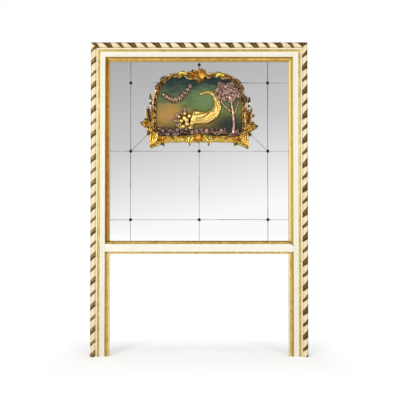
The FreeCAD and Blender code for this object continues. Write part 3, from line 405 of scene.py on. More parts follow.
def silvered_glass():
    """Old plates: clear over most of their face, a little dull along their edges, and dark there as
    painted shade in the seams.
    """
    material, tree, surface = new_material("silvered glass")
    # painted shade in the seams: the plates darken along their edges
    edge = place_group(tree, edge_wear_and_seam_shade, radius=0.005, scale=2.6)
    cloud = place_group(tree, patches, scale=2.2, low=0.3, high=0.8)
    tone = blend_colour(tree, cloud, (0.985, 0.985, 0.985), (0.972, 0.974, 0.974))
    fill(tree, surface, {
        "Base Color": lay_over(tree, tone, edge, 0.9, (0.10, 0.10, 0.10)),
        "Roughness": span(tree, edge, 0.0, 1.0, 0.015, 0.12),
        "Metallic": 1.0,
    })
    return material


def old_metal(name, bright, dark, rough):
    """Cast or drawn metal with a patchy skin."""
    material, tree, surface = new_material(name)
    cloud = place_group(tree, patches, scale=120.0, low=0.3, high=0.7)
    # dirt and painted shade in the hollows
    dirt_and_shade = place_group(tree, hollows, reach=0.004, low=0.2, high=0.8)
    fill(tree, surface, {
        "Base Color": blend_colour(tree, dirt_and_shade, blend_colour(tree, cloud, bright, dark), dark),
        "Roughness": span(tree, cloud, 0.0, 1.0, rough - 0.08, rough + 0.12),
        "Metallic": 1.0,
        "Normal": bump(tree, cloud, 0.0001),
    })
    return material


def bare_pine(name, pale, dark, along, plank=26.0, shade_behind_glass=False):
    """Unpainted softwood, with its grain along the piece, and near black behind the glass as
    painted shade in the seams.
    """
    material, tree, surface = new_material(name)
    rings = place_group(tree, wood_grain, scale=plank, stretch=along)
    colour = blend_colour(tree, rings, pale, dark)
    stain = place_group(tree, patches, scale=3.0, low=0.35, high=0.8)
    colour = lay_over(tree, colour, stain, 0.45, tuple(channel * 0.55 for channel in dark))
    # dust and painted shade in the hollows
    dust_and_shade = place_group(tree, hollows, reach=0.02, low=0.3, high=0.9)
    colour = lay_over(tree, colour, dust_and_shade, 0.6, (0.09, 0.06, 0.04))
    # painted shade: near black where the boards face the glass, so the seams read dark
    if shade_behind_glass:
        front = span(tree, split(tree, surface_normal(tree))["Y"], -0.4, -0.6)
        colour = blend_colour(tree, front, colour, (0.02, 0.02, 0.022))
    grain = place_group(tree, wood_grain, "Height", scale=plank, stretch=along)
    fill(tree, surface, {
        "Base Color": colour, "Roughness": 0.72, "Normal": bump(tree, grain, 0.0005),
    })
    return material


def soft_rubber():
    material, tree, surface = new_material("pad rubber")
    cloud = place_group(tree, patches, scale=150.0, low=0.3, high=0.8)
    fill(tree, surface, {
        "Base Color": blend_colour(tree, cloud, (0.05, 0.045, 0.04), (0.09, 0.08, 0.07)),
        "Roughness": 0.85,
        "Normal": bump(tree, cloud, 0.0003),
    })
    return material


def rose_bronze():
    """Bronze paint over carving: rose on the heights, with painted shade that darkens the steep
    sides and the hollows.
    """
    material, tree, surface = new_material("rose bronze")
    cloud = place_group(tree, patches, scale=42.0, low=0.42, high=0.60)
    colour = blend_colour(tree, cloud, (0.82, 0.53, 0.42), (0.34, 0.19, 0.145))
    gilt = place_group(tree, patches, scale=18.0, low=0.54, high=0.7)
    colour = lay_over(tree, colour, gilt, 0.6, (0.72, 0.50, 0.18))
    # painted shade on the steep sides
    side = place_group(tree, flanks, low=0.12, high=0.60)
    colour = lay_over(tree, colour, side, 0.85, (0.09, 0.045, 0.04))
    # painted shade in the hollows
    dirt_and_shade = place_group(tree, hollows, reach=0.030, low=0.04, high=0.42)
    fill(tree, surface, {
        "Base Color": blend_colour(tree, dirt_and_shade, colour, (0.020, 0.012, 0.012)),
        "Metallic": span(tree, dirt_and_shade, 0.0, 1.0, 0.6, 0.1),
        "Roughness": span(tree, cloud, 0.0, 1.0, 0.34, 0.5),
        "Specular IOR Level": 0.2,
        "Normal": bump(tree, cloud, 0.0004),
    })
    return material


def painted_ground():
    """Broad strokes: nearly black at both ends, greens between, and four soft patches."""
    material, tree, surface = new_material("painted ground")
    place = surface_point(tree)
    strokes = add(tree, "ShaderNodeMapping", {"Vector": place, "Scale": (5.0, 5.0, 13.0)})
    cloud = cloud_at(tree, strokes.outputs[0], 1.6, 6.0, 0.62)
    wander = span(tree, cloud, 0.25, 0.75, -0.16, 0.16)
    height = span(tree, split(tree, place)["Z"], ground_low.z, ground_high.z)
    colour = colour_ramp(tree, calc(tree, "ADD", height, wander), [
        (0.0, (0.012, 0.016, 0.008)), (0.16, (0.050, 0.062, 0.012)),
        (0.34, (0.17, 0.18, 0.035)), (0.52, (0.13, 0.18, 0.055)),
        (0.72, (0.065, 0.105, 0.055)), (0.88, (0.020, 0.042, 0.035)),
        (1.0, (0.010, 0.018, 0.018)),
    ])
    # middle in metres, reach, tint, and how much wider than high
    spots = [
        ((-0.25, 1.93), 0.13, (0.46, 0.24, 0.065), 1.9),
        ((-0.02, 1.87), 0.10, (0.30, 0.20, 0.04), 2.2),
        ((0.26, 1.86), 0.09, (0.018, 0.024, 0.030), 2.4),
        ((0.05, 2.06), 0.12, (0.14, 0.22, 0.085), 2.0),
    ]
    for (x, z), reach, tint, flatness in spots:
        centred = add(tree, "ShaderNodeMapping", {
            "Vector": place, "Location": (-x / reach / flatness, 0.0, -z / reach),
            "Scale": (1 / reach / flatness, 0.0, 1 / reach),
        })
        away = add(tree, "ShaderNodeVectorMath", {"Vector": centred.outputs[0]},
                   operation="LENGTH").outputs["Value"]
        ragged = calc(tree, "ADD", away, calc(tree, "MULTIPLY", wander, 2.5))
        colour = lay_over(tree, colour, span(tree, ragged, 1.0, 0.2), 0.85, tint)
    # painted shade: the ground darkens to near black in the hollows round the relief
    dirt_and_shade = place_group(tree, hollows, reach=0.03, low=0.1, high=0.8)
    fill(tree, surface, {
        "Base Color": blend_colour(tree, dirt_and_shade, colour, (0.008, 0.008, 0.006)),
        "Roughness": span(tree, cloud, 0.3, 0.7, 0.45, 0.62),
        "Specular IOR Level": 0.2,
        "Normal": bump(tree, cloud, 0.0012),
    })
    return material


straw = (0.93, 0.78, 0.42)
# the grey band 14 to 27 mm out is painted shade along the band's shallow flute
cream = paint("cream paint", (0.93, 0.90, 0.80), (0.90, 0.86, 0.74), (0.84, 0.68, 0.36),
              lines=((-1, 7, 1.5, 0.45, straw), (34, 43, 1.5, 0.5, straw),
                     (55, 80, 1.5, 0.7, straw), (14, 27, 4.0, 0.7, (0.80, 0.77, 0.74))))
rope_cream = paint("rope cream", (0.93, 0.81, 0.55), (0.86, 0.70, 0.42), (0.40, 0.25, 0.08))
rope_shade = paint("rope cream, in shade", (0.68, 0.55, 0.34), (0.56, 0.43, 0.24),
                   (0.30, 0.18, 0.06))
# painted shade for the top rope's outer flank
rope_outer_shade = paint("painted shade on the rope's outer flank", (0.42, 0.40, 0.26), (0.24, 0.24, 0.16),
                   (0.14, 0.12, 0.06))
filler = paint("dark filler", (0.14, 0.10, 0.05), (0.08, 0.06, 0.03), (0.05, 0.035, 0.02))
line_gold = gold_leaf("gold of the beads", (0.72, 0.57, 0.20), (0.50, 0.37, 0.11),
                      (0.20, 0.12, 0.02), (0.34, 0.15, 0.04), reach=0.010, dirt_and_shade_low=0.25)
# painted shade in the quirk along the sight mouldings' outer edge
quirk_shade = (0.20, 0.085, 0.012)
# painted shade: a darker copy of the gold on the left, with bands of painted light and shade across
# its profile
shaded_left_sight_gold = gold_leaf("gold left of the glass, in painted shade", (0.46, 0.24, 0.035),
                            (0.30, 0.14, 0.015), (0.12, 0.05, 0.006), (0.26, 0.08, 0.03),
                            metal=0.35, rough=0.46, reach=0.010, dirt_and_shade_low=0.30,
                            lines=((-1, 8, (0.42, 0.32, 0.17)), (30, 40, quirk_shade)))
# bands of painted light and shade across the profile over the glass
top_sight_gold = gold_leaf("gold over the glass", (0.74, 0.53, 0.13), (0.50, 0.31, 0.06),
                           (0.12, 0.05, 0.006), (0.26, 0.08, 0.03), metal=0.45, rough=0.42,
                           reach=0.010, dirt_and_shade_low=0.30,
                           lines=((-1, 4, (0.46, 0.34, 0.19)), (4, 12, (0.32, 0.16, 0.02)),
                                  (29, 40, quirk_shade)))
# painted light: a paler copy of the gold on the right, with a painted highlight on its slope and
# bands of painted shade
lit_right_sight_gold = gold_leaf("gold right of the glass, in painted light", (0.80, 0.62, 0.22),
                             (0.66, 0.47, 0.12), (0.20, 0.10, 0.02), (0.26, 0.08, 0.03),
                             metal=0.35, rough=0.46, reach=0.010, dirt_and_shade_low=0.35,
                             lines=((-1, 4, (0.52, 0.40, 0.22)), (4, 15, (0.74, 0.64, 0.32)),
                                    (23, 31, (0.48, 0.29, 0.06)), (32, 40, (0.62, 0.47, 0.19))))
# a painted highlight by the legs' inner edge and painted shade at their outer edge
leg_gold = gold_leaf("gold of the legs", (0.72, 0.52, 0.16), (0.54, 0.35, 0.08),
                     (0.16, 0.08, 0.01), (0.26, 0.08, 0.03), metal=0.45, rough=0.42,
                     reach=0.010, dirt_and_shade_low=0.35,
                     lines=((-1, 8, (0.84, 0.74, 0.42)), (29, 40, (0.30, 0.16, 0.04))))
upper_bar_gold = gold_leaf("gold over the cross bar", (0.78, 0.54, 0.14), (0.50, 0.29, 0.05),
                           (0.10, 0.05, 0.008), (0.26, 0.09, 0.03), reach=0.010, flank_shade=0.95)
# painted light: a paler copy of the beads' gold lifts the bead under the cross bar out of its shade
bar_gold = gold_leaf("gold under the cross bar, in painted light", (0.90, 0.74, 0.34), (0.66, 0.46, 0.15),
                     (0.30, 0.17, 0.04), (0.30, 0.10, 0.03), reach=0.006, dirt_and_shade_low=0.35)
ribbon_gold = gold_leaf("gold of the ribbons", (0.46, 0.31, 0.09), (0.20, 0.115, 0.025),
                        (0.05, 0.03, 0.008), (0.16, 0.08, 0.02), metal=0.5, rough=0.45,
                        reach=0.006, mottle=60.0)
# a darker copy of the ribbons' gold: painted shade on the right and top ribbons
shaded_ribbon_gold = gold_leaf("ribbon gold, in painted shade", (0.24, 0.14, 0.035), (0.085, 0.045, 0.010),
                         (0.03, 0.015, 0.004), (0.10, 0.045, 0.012), metal=0.4, rough=0.45,
                         reach=0.006, mottle=60.0)
# painted shade on the ribbons' edges and ends
ribbon_shade = gold_leaf("painted shade of the ribbons", (0.13, 0.075, 0.018),
                         (0.07, 0.038, 0.008), (0.03, 0.015, 0.004), (0.10, 0.04, 0.01),
                         metal=0.3, rough=0.5, reach=0.006)
carved_gold = gold_leaf("gold of the carving", (0.86, 0.58, 0.13), (0.46, 0.21, 0.02),
                        (0.020, 0.008, 0.002), (0.34, 0.10, 0.03), rough=0.24, reach=0.026,
                        dirt_and_shade_low=0.04, mottle=48.0, flank_shade=0.8)
rim_gold = gold_leaf("gold of the rim", (0.88, 0.68, 0.30), (0.56, 0.30, 0.07),
                     (0.030, 0.012, 0.003), (0.34, 0.11, 0.03), rough=0.28, reach=0.018,
                     dirt_and_shade_low=0.08, mottle=34.0, flank_shade=0.7)
rail_gold = gold_leaf("gold of the rail", (0.80, 0.56, 0.12), (0.52, 0.33, 0.05),
                      (0.04, 0.018, 0.003), (0.32, 0.11, 0.03), rough=0.26, reach=0.016,
                      dirt_and_shade_low=0.08, flank_shade=0.8)
shell_gold = gold_leaf("gold of the shells", (0.90, 0.44, 0.07), (0.58, 0.21, 0.02),
                       (0.030, 0.010, 0.002), (0.32, 0.08, 0.03), rough=0.28, reach=0.020,
                       dirt_and_shade_low=0.06, flank_shade=0.75)
cove_gold = gold_leaf("gold of the small leaves", (0.84, 0.44, 0.13), (0.26, 0.09, 0.03),
                      (0.020, 0.008, 0.004), (0.22, 0.07, 0.03), rough=0.30, reach=0.022,
                      dirt_and_shade_low=0.04, flank_shade=0.85)
# the tips are darker than the rest of the carving
dark_gold = gold_leaf("dark gold of the tips", (0.36, 0.23, 0.09), (0.08, 0.042, 0.020),
                      (0.010, 0.006, 0.004), (0.10, 0.04, 0.03), metal=0.45, rough=0.32,
                      reach=0.020, dirt_and_shade_low=0.04, flank_shade=0.9)
pale_gold = gold_leaf("pale gold of the scrolls", (0.88, 0.70, 0.14), (0.66, 0.47, 0.06),
                      (0.06, 0.03, 0.004), (0.32, 0.13, 0.03), rough=0.24, reach=0.014,
                      flank_shade=0.8)
relief_gold = gold_leaf("gold of the relief", (0.90, 0.64, 0.20), (0.64, 0.38, 0.08),
                        (0.020, 0.008, 0.002), (0.34, 0.10, 0.03), rough=0.26, reach=0.026,
                        dirt_and_shade_low=0.05, mottle=16.0, flank_shade=0.85)
# painted highlight: near white gilding on the spires' pale buds
bud_highlight_gold = gold_leaf("painted highlight of the buds", (0.98, 0.90, 0.74), (0.74, 0.58, 0.42),
                  (0.05, 0.03, 0.02), (0.30, 0.12, 0.06), metal=0.4, rough=0.3, reach=0.010,
                  dirt_and_shade_low=0.30, flank_shade=0.35)
glass = silvered_glass()
bronze = old_metal("dark bronze", (0.055, 0.042, 0.030), (0.012, 0.010, 0.008), 0.38)
steel = old_metal("hanger steel", (0.55, 0.55, 0.54), (0.30, 0.29, 0.27), 0.34)
rubber = soft_rubber()
upright_pine = bare_pine("pine, upright", (0.46, 0.29, 0.14), (0.27, 0.15, 0.06), (1, 1, 0.05))
level_pine = bare_pine("pine, level", (0.46, 0.29, 0.14), (0.27, 0.15, 0.06), (0.05, 1, 1))
board_pine = bare_pine("pine boards", (0.40, 0.25, 0.13), (0.25, 0.14, 0.06), (1, 1, 0.04), 18.0,
                       shade_behind_glass=True)
rose = rose_bronze()
ground = painted_ground()


def finish_frame_nodes():
    """Gives every piece of the frame its finish."""
    finishes = [
        (upright_pine, "left_stile right_stile"),
        (level_pine, "top_rail cross_rail middle_brace"),
        (board_pine, "back_board_"),
        (cream, "cream_moulding crossbar_face"),
        (rope_cream, "rope_moulding"),
        (line_gold, "gilt_bead"),
        (bar_gold, "crossbar_lower"),
        (upper_bar_gold, "crossbar_upper"),
        (shaded_left_sight_gold, "sight_moulding_left"),
        (lit_right_sight_gold, "sight_moulding_right"),
        (top_sight_gold, "sight_moulding_top"),
        (leg_gold, "leg_moulding"),
        (glass, "mirror_plate"),
        (bronze, "rosette"),
        (carved_gold, "cartouche_ crest_ side_spray corner_scroll"),
        (ground, "relief_ground"),
        (rose, "relief_rocks relief_horn relief_fruit relief_tree relief_garland"),
        (steel, "hanger_ hanging_ring"),
        (rubber, "wall_pads"),
    ]
    for name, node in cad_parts.items():
        for material, starts in finishes:
            if name.startswith(tuple(starts.split())):
                node.data.materials.clear()
                node.data.materials.append(material)


# ---- making pieces ----

def finish_piece(name, mesh, material, nodes=()):
    """A piece that rides on the frame, and stands for the nodes it is given."""
    for finish in material if isinstance(material, tuple) else (material,):
        mesh.materials.append(finish)
    for polygon in mesh.polygons:
        polygon.use_smooth = True
    piece = bpy.data.objects.new(name, mesh)
    bpy.context.scene.collection.objects.link(piece)
    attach(piece, "frame")
    if nodes:
        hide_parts(*nodes)
    return piece


def to_mesh(name, carving):
    bmesh.ops.recalc_face_normals(carving, faces=carving.faces)
    mesh = bpy.data.meshes.new(name)
    carving.to_mesh(mesh)
    carving.free()
    return mesh


def fused(name, carving, voxel):
    """One skin round all the shapes of a carving, with the carver's slight unevenness."""
    mesh = to_mesh(name + " parts", carving)
    block = bpy.data.objects.new(name + " block", mesh)
    bpy.context.scene.collection.objects.link(block)
    remesh = block.modifiers.new("skin", "REMESH")
    remesh.mode = "VOXEL"
    remesh.voxel_size = voxel
    smooth = block.modifiers.new("smooth", "SMOOTH")
    smooth.factor = 0.5
    smooth.iterations = 2
    depsgraph = bpy.context.evaluated_depsgraph_get()
    skin = bpy.data.meshes.new_from_object(block.evaluated_get(depsgraph))
    bpy.data.objects.remove(block)
    bpy.data.meshes.remove(mesh)
    normals = [vertex.normal.copy() for vertex in skin.vertices]
    for vertex, normal in zip(skin.vertices, normals):
        push = noise.noise(vertex.co * 90) + 0.5 * noise.noise(vertex.co * 220)
        vertex.co += normal * push * carver_unevenness
    skin.name = name
    return skin


def carve(name, carving, material, nodes=(), voxel=board_voxel):
    return finish_piece(name, fused(name, carving, voxel), material, nodes)


def skin_rings(carving, rings, finish_at=None):
    """Faces between rings of as many points each, closed at both ends.

    A finish can go by the ring and the place in it.
    """
    loops = [[carving.verts.new(point) for point in ring] for ring in rings]
    for step, (near, after) in enumerate(zip(loops, loops[1:])):
        for index, vertex in enumerate(near):
            other = (index + 1) % len(near)
            face = carving.faces.new((vertex, near[other], after[other], after[index]))
            if finish_at:
                face.material_index = finish_at(step, index)
    carving.faces.new(loops[0])
    carving.faces.new(loops[-1])


# ---- rope mouldings ----

def rope_outline():
    """Points of the moulding's section from the outer flank's back to the inner flank's back.

    Each is the distance inwards, y, and the outward direction (inwards, y).
    """
    steps = 16
    flank_y = rope_low.y + rope_radius
    radius = rope_radius - rope_inset
    points = [(rope_inset, rope_high.y, -1.0, 0.0)]
    for index in range(steps + 1):
        angle = math.pi * index / steps
        points.append((
            rope_radius - radius * math.cos(angle), flank_y - radius * math.sin(angle),
            -math.cos(angle), -math.sin(angle),
        ))
    points.append((rope_width - rope_inset, rope_high.y, 1.0, 0.0))
    return points


def ribbon_rise(inwards):
    """How far along the moulding a ribbon runs on its way across it."""
    share = max(-1.0, min(1.0, (inwards - rope_radius) / rope_radius))
    return rope_radius * (0.72 * share + 0.28 * math.asin(share) * 2 / math.pi)


def rope_core(length_at, to_point, start, lean):
    """The cream half-round, hollowed a little beside each ribbon, with painted shade on its outer
    edge where a second finish is given.
    """
    carving = bmesh.new()
    outline = rope_outline()
    steps = int(length_at(0.0)[1] / (6 * MM))
    rings = []
    for index in range(steps + 1):
        ring = []
        for inwards, y, out_u, out_y in outline:
            low, high = length_at(inwards)
            along = low + (high - low) * index / steps
            phase = (along - start - lean * ribbon_rise(inwards)) / (ribbon_pitch / 2)
            swell = 1.1 * MM * (0.5 - 0.5 * math.cos(2 * math.pi * phase)) - 0.5 * MM
            swell *= min(1.0, max(0.0, -out_y * 1.6))
            ring.append(to_point(inwards + out_u * swell, y + out_y * swell, along))
        rings.append(ring)
    skin_rings(carving, rings, finish_at=lambda step, place: 1 if place < outer_shade_rows else 0)
    return carving


def add_ribbon(carving, centre, width, lean, flare, to_point):
    """A band across the moulding with rolled edges, and on a wide one a carved leaf.

    A flare over 0 makes it wider at the moulding's outer edge and narrower at its inner edge.
    """
    outline = rope_outline()
    rows = 12
    wide = width > 1.3 * narrow_ribbon
    shade_rows = 5 if wide else 4
    rings = []
    for inwards, y, out_u, out_y in outline:
        middle = centre + lean * ribbon_rise(inwards)
        half = width / 2 * (1 + flare * (1 - 2 * inwards / rope_width))
        crown = max(0.0, -out_y)
        front = []
        back = []
        for row in range(rows + 1):
            side = 2 * row / rows - 1
            roll = math.exp(-((abs(side) - 0.8) / 0.16) ** 2)
            lift = 1.1 * MM + 0.7 * MM * roll
            if wide:
                leafy = math.cos(side * math.pi / 2) * crown ** 2
                lift += MM * leafy * (1.6 - 1.3 * math.exp(-(side / 0.12) ** 2))
            else:
                lift += 0.9 * MM * crown * (1 - side ** 2)
            if not crown:
                lift *= flank_thinning
            if abs(side) > 0.999:
                lift = 0.0
            along = middle + side * half
            front.append(to_point(inwards + out_u * lift, y + out_y * lift, along))
            back.append(to_point(inwards - out_u * MM, y - out_y * MM, along))
        rings.append(front + back[::-1])

    # painted shade: the first rows across, the last but one, and both ends down the flanks
    def painted_shade_at(step, index):
        at_ends = step < 5 or step > len(outline) - 6
        return 1 if index < shade_rows or index == rows - 1 or at_ends else 0

    skin_rings(carving, rings, finish_at=painted_shade_at)


def cut_flat(carving, point, outward):
    """Takes off all that lies beyond a plane, and closes the cut."""
    cut = bmesh.ops.bisect_plane(
        carving, geom=carving.verts[:] + carving.edges[:] + carving.faces[:],
        plane_co=point, plane_no=outward, clear_outer=True,
    )
    edges = [item for item in cut["geom_cut"] if isinstance(item, bmesh.types.BMEdge)]
    bmesh.ops.holes_fill(carving, edges=edges)


def add_ribbons(name, start, length, lean, flare, to_point, cuts, gilt):
    carving = bmesh.new()
    for index in range(-2, int(length / ribbon_pitch * 2) + 4):
        width = wide_ribbon if index % 2 == 0 else narrow_ribbon
        centre = start + index * ribbon_pitch / 2
        if -width < centre < length + width:
            add_ribbon(carving, centre, width * (1 + 0.8 * flare), lean, flare, to_point)
    for point, outward in cuts:
        cut_flat(carving, point, outward)
    return finish_piece(name, to_mesh(name, carving), (gilt, ribbon_shade))


def make_ropes():
    mitres = {
        -1: (Vector((-frame_half, 0, frame_top)), Vector((1, 0, 1))),
        1: (Vector((frame_half, 0, frame_top)), Vector((-1, 0, 1))),
    }
    floor = (Vector((0, 0, 0)), Vector((0, 0, -1)))
    for side, name, start in ((-1, "left", left_ribbon_start), (1, "right", right_ribbon_start)):
        def to_point(inwards, y, along, side=side):
            return Vector((side * (frame_half - inwards), y, along))

        core = rope_core(lambda u: (0.0, frame_top - u), to_point, start, -side)
        node = "rope_moulding_" + name
        edge = rope_cream if side < 0 else rope_shade
        finish_piece("rope_" + name, to_mesh(node, core), (rope_cream, edge), [node])
        add_ribbons("ribbons_" + name, start, frame_top, -side, 0.0 if side < 0 else 0.3,
                    to_point, [floor, mitres[side]], ribbon_gold if side < 0 else shaded_ribbon_gold)

    def to_top(inwards, y, along):
        return Vector((along - frame_half, y, frame_top - inwards))

    core = rope_core(lambda u: (u, 2 * frame_half - u), to_top, top_ribbon_start, 1)
    # the top rope's outer rows take painted shade
    finish_piece("rope_top", to_mesh("rope_top", core), (rope_cream, rope_outer_shade),
                 ["rope_moulding_top"])
    under = [(point, -outward) for point, outward in mitres.values()]
    add_ribbons("ribbons_top", top_ribbon_start, 2 * frame_half, 1, 0.3, to_top, under,
                shaded_ribbon_gold)


def make_crack(name, start, end, width):
    """A line of dark filler where two mouldings meet, laid on whatever is in front there."""
    carving = bmesh.new()
    depsgraph = bpy.context.evaluated_depsgraph_get()
    run = Vector((end[0] - start[0], 0.0, end[1] - start[1]))
    steps = max(4, int(run.length / (1.5 * MM)))
    across = Vector((run.z, 0.0, -run.x)).normalized() * width / 2
    rings = []
    for index in range(steps + 1):
        share = index / steps
        place = Vector((start[0] + run.x * share, -1.0, start[1] + run.z * share))
        hit, spot, *_ = bpy.context.scene.ray_cast(depsgraph, place, Vector((0, 1, 0)))
        if not hit:
            continue
        half = across * (0.35 + 0.65 * math.sin(math.pi * (0.1 + 0.8 * share)))
        front = Vector((0, 0.4 * MM, 0))
        rings.append([spot - front - half, spot - front + half, spot + front + half,
                      spot + front - half])
    skin_rings(carving, rings)
    finish_piece(name, to_mesh(name, carving), filler)


def make_cracks():
    """Open mitres: at the top corners, and where the cross bar's bead meets the stiles."""
    for side, name in SIDES:
        corner = (side * (frame_half - 3 * MM), frame_top - 3 * MM)
        middle = (side * (frame_half - rope_width - 4 * MM), frame_top - rope_width - 4 * MM)
        make_crack("mitre_" + name, corner, middle, 7 * MM)
        outer = (side * sight_outer, sight_outer_top)
        inner = (side * (glass_half + 1 * MM), glass_top + 1 * MM)
        make_crack("inner_mitre_" + name, outer, inner, 4 * MM)
        reach = 42 * MM if side > 0 else 14 * MM
        start = (side * (glass_half + 1 * MM), bar_top - 1 * MM)
        end = (start[0] + side * reach, start[1] - reach)
        make_crack("bar_mitre_" + name, start, end, 8 * MM)


# ---- carving tools ----

def on_board(x, height, rise=0.0):
    """A point at x, a height above the rail, and a rise in front of the board."""
    return Vector((x, board_front - rise, rail_top + height))


def on_ground(x, height, rise=0.0):
    """A point at x, a height above the rail, and a rise in front of the painted ground."""
    return Vector((x, ground_front - rise, rail_top + height))


def spoke(centre, angle, length):
    turn = math.radians(angle)
    return centre[0] + length * math.cos(turn), centre[1] + length * math.sin(turn)


def curve_point(root, tip, bend, share):
    """A point on a bow from root to tip, and the direction there."""
    run = Vector((tip[0] - root[0], tip[1] - root[1]))
    across = Vector((-run.y, run.x))
    place = Vector(root) + run * share + across * bend * math.sin(math.pi * share)
    direction = (run + across * bend * math.pi * math.cos(math.pi * share)).normalized()
    return place, direction


def add_leaf(carving, root, tip, width, rise, bend=0.0, lift=0.0, lobes=0, base=0.0, at=on_board):
    """An acanthus leaf: midrib, hollows beside it, lobed edges and a tip that curls forward."""
    steps = 26
    rows = 12
    rings = []
    for step in range(steps + 1):
        share = step / steps
        place, direction = curve_point(root, tip, bend, share)
        swell = math.sin(math.pi * min(1.0, 0.12 + 0.88 * share)) ** 0.7
        notch = 1 - 0.30 * abs(math.sin(math.pi * lobes * share)) ** 3 if lobes else 1.0
        half = max(0.3 * MM, width / 2 * swell * notch)
        height = rise * (0.35 + 0.65 * math.sin(math.pi * (0.15 + 0.7 * share)))
        curl = lift * share ** 2
        front = []
        for row in range(rows + 1):
            side = 2 * row / rows - 1
            ridge = math.exp(-(side / 0.16) ** 2)
            fold = 0.5 + 0.5 * math.cos(math.pi * min(1.0, abs(side)))
            vein = 0.12 * math.cos(2 * math.pi * (lobes * share - 1.1 * abs(side)))
            edge = 1 - abs(side) ** 6
            up = height * edge * (0.45 + 0.30 * fold + 0.30 * ridge + vein)
            front.append(at(place.x - direction.y * half * side,
                            place.y + direction.x * half * side, base + curl + up))
        under = base + max(0.0, curl - 3 * MM) - (2 * MM if curl < 3 * MM else 0.0)
        back = [
            at(place.x - direction.y * half * side, place.y + direction.x * half * side, under)
            for side in (1.0, 0.0, -1.0)
        ]
        rings.append(front + back)
    skin_rings(carving, rings)


def place_mm(place, side=1):
    """A place given in millimetres, on the side that is asked for."""
    return side * place[0] * MM, place[1] * MM


def add_leaves(carving, leaves, rise, lift, base, side=1, lobes=0):
    """Leaves on the board, from millimetres: each has its root, its tip, its width and its bend."""
    for root, tip, width, bend in leaves:
        add_leaf(carving, place_mm(root, side), place_mm(tip, side), width * MM, rise * MM,
                 bend=side * bend, lift=lift * MM, lobes=lobes, base=base * MM)


def add_rod(carving, stops, sides=12, flatten=1.0):
    """A round rod through points in space, each given with the rod's radius there."""
    path = [point for point, _ in stops]
    rings = []
    for index, (point, radius) in enumerate(stops):
        before = path[max(0, index - 1)]
        after = path[min(len(path) - 1, index + 1)]
        along = (after - before).normalized()
        across = along.cross(Vector((0, 1, 0)))
        across = across.normalized() if across.length > 1e-6 else Vector((1, 0, 0))
        out = across.cross(along).normalized()
        rings.append([
            point + across * radius * math.cos(2 * math.pi * side / sides)
            + out * radius * flatten * math.sin(2 * math.pi * side / sides)
            for side in range(sides)
        ])
    skin_rings(carving, rings)


def add_ball(carving, centre, radius, squash=1.0):
    """A ball, flattened front to back where squash is under 1."""
    place = Matrix.Translation(centre) @ Matrix.Diagonal((1, squash, 1, 1))
    bmesh.ops.create_icosphere(carving, subdivisions=3, radius=radius, matrix=place)


def add_disc(carving, centre, radius, height):
    """A round plate that stands forward of the point at its back."""
    place = Matrix.Translation(centre - Vector((0, height / 2, 0)))
    turned = place @ Matrix.Rotation(math.pi / 2, 4, "X")
    bmesh.ops.create_cone(carving, cap_ends=True, segments=40, radius1=radius, radius2=radius,
                          depth=height, matrix=turned)


def add_volute(carving, centre, radius, turns, start, thick, rise):
    """A rod on the painted ground that winds in to a round eye."""
    steps = int(30 * turns) + 2
    stops = []
    for index in range(steps + 1):
        share = index / steps
        x, z = spoke(centre, start + 360 * turns * share, radius * (1 - 0.80 * share))
        stops.append((on_ground(x, z, rise + 0.35 * thick * share), thick * (1 - 0.45 * share)))
    add_rod(carving, stops)
    add_ball(carving, on_ground(*centre, rise + 0.3 * thick), thick * 1.05)


def add_bow(carving, root, tip, bend, thick, rise, ends=0.45, steps=24):
    """A rod on the board that bows from root to tip, thickest in the middle."""
    stops = []
    for index in range(steps + 1):
        share = index / steps
        place, _ = curve_point(root, tip, bend, share)
        stops.append((on_board(place.x, place.y, rise),
                      thick * (ends + (1 - ends) * math.sin(math.pi * share))))
    add_rod(carving, stops)


def add_flower(carving, centre, radius, rise, at=on_board, turn=0.0):
    """Cupped petals round a raised heart."""
    petals = 5
    for index in range(petals):
        angle = turn + 360 * index / petals
        add_leaf(carving, spoke(centre, angle, radius * 0.15), spoke(centre, angle, radius),
                 radius * 0.95, radius * 0.32, lift=radius * 0.25, base=rise, at=at)
    add_ball(carving, at(*centre, rise + radius * 0.3), radius * 0.26)


def add_shell(carving, centre, reach, spread, ribs, tall, rise, narrow):
    """A scallop: rounded ribs that fan out and up from a point to a scalloped edge."""
    rows = 10
    steps = ribs * 8
    rings = []
    for step in range(steps + 1):
        share = step / steps
        angle = math.radians(90 + spread * (0.5 - share))
        rib = 0.5 - 0.5 * math.cos(2 * math.pi * ribs * share)
        aside = (2 * share - 1) ** 2
        length = reach * (1 - 0.25 * aside) * (0.90 + 0.10 * rib)
        points = []
        for row in range(rows + 1):
            out = row / rows
            dome = 0.45 + 0.55 * math.sin(math.pi * (0.1 + 0.75 * out))
            height = rise + tall * (dome * (1 - 0.35 * aside) + 0.5 * out * (rib - 0.6))
            points.append((centre[0] + narrow * length * out * math.cos(angle),
                           centre[1] + length * out * math.sin(angle), height))
        back = [on_board(x, z, -1 * MM) for x, z, _ in points[::-1]]
        rings.append([on_board(*point) for point in points] + back)
    skin_rings(carving, rings)


def circle_through(first, second, third):
    """Middle and radius of the circle through three points of the plane."""
    ax, az = first
    bx, bz = second
    cx, cz = third
    scale = 2 * (ax * (bz - cz) + bx * (cz - az) + cx * (az - bz))
    squares = [x * x + z * z for x, z in (first, second, third)]
    x = (squares[0] * (bz - cz) + squares[1] * (cz - az) + squares[2] * (az - bz)) / scale
    z = (squares[0] * (cx - bx) + squares[1] * (ax - cx) + squares[2] * (bx - ax)) / scale
    return (x, z), math.dist((x, z), first)


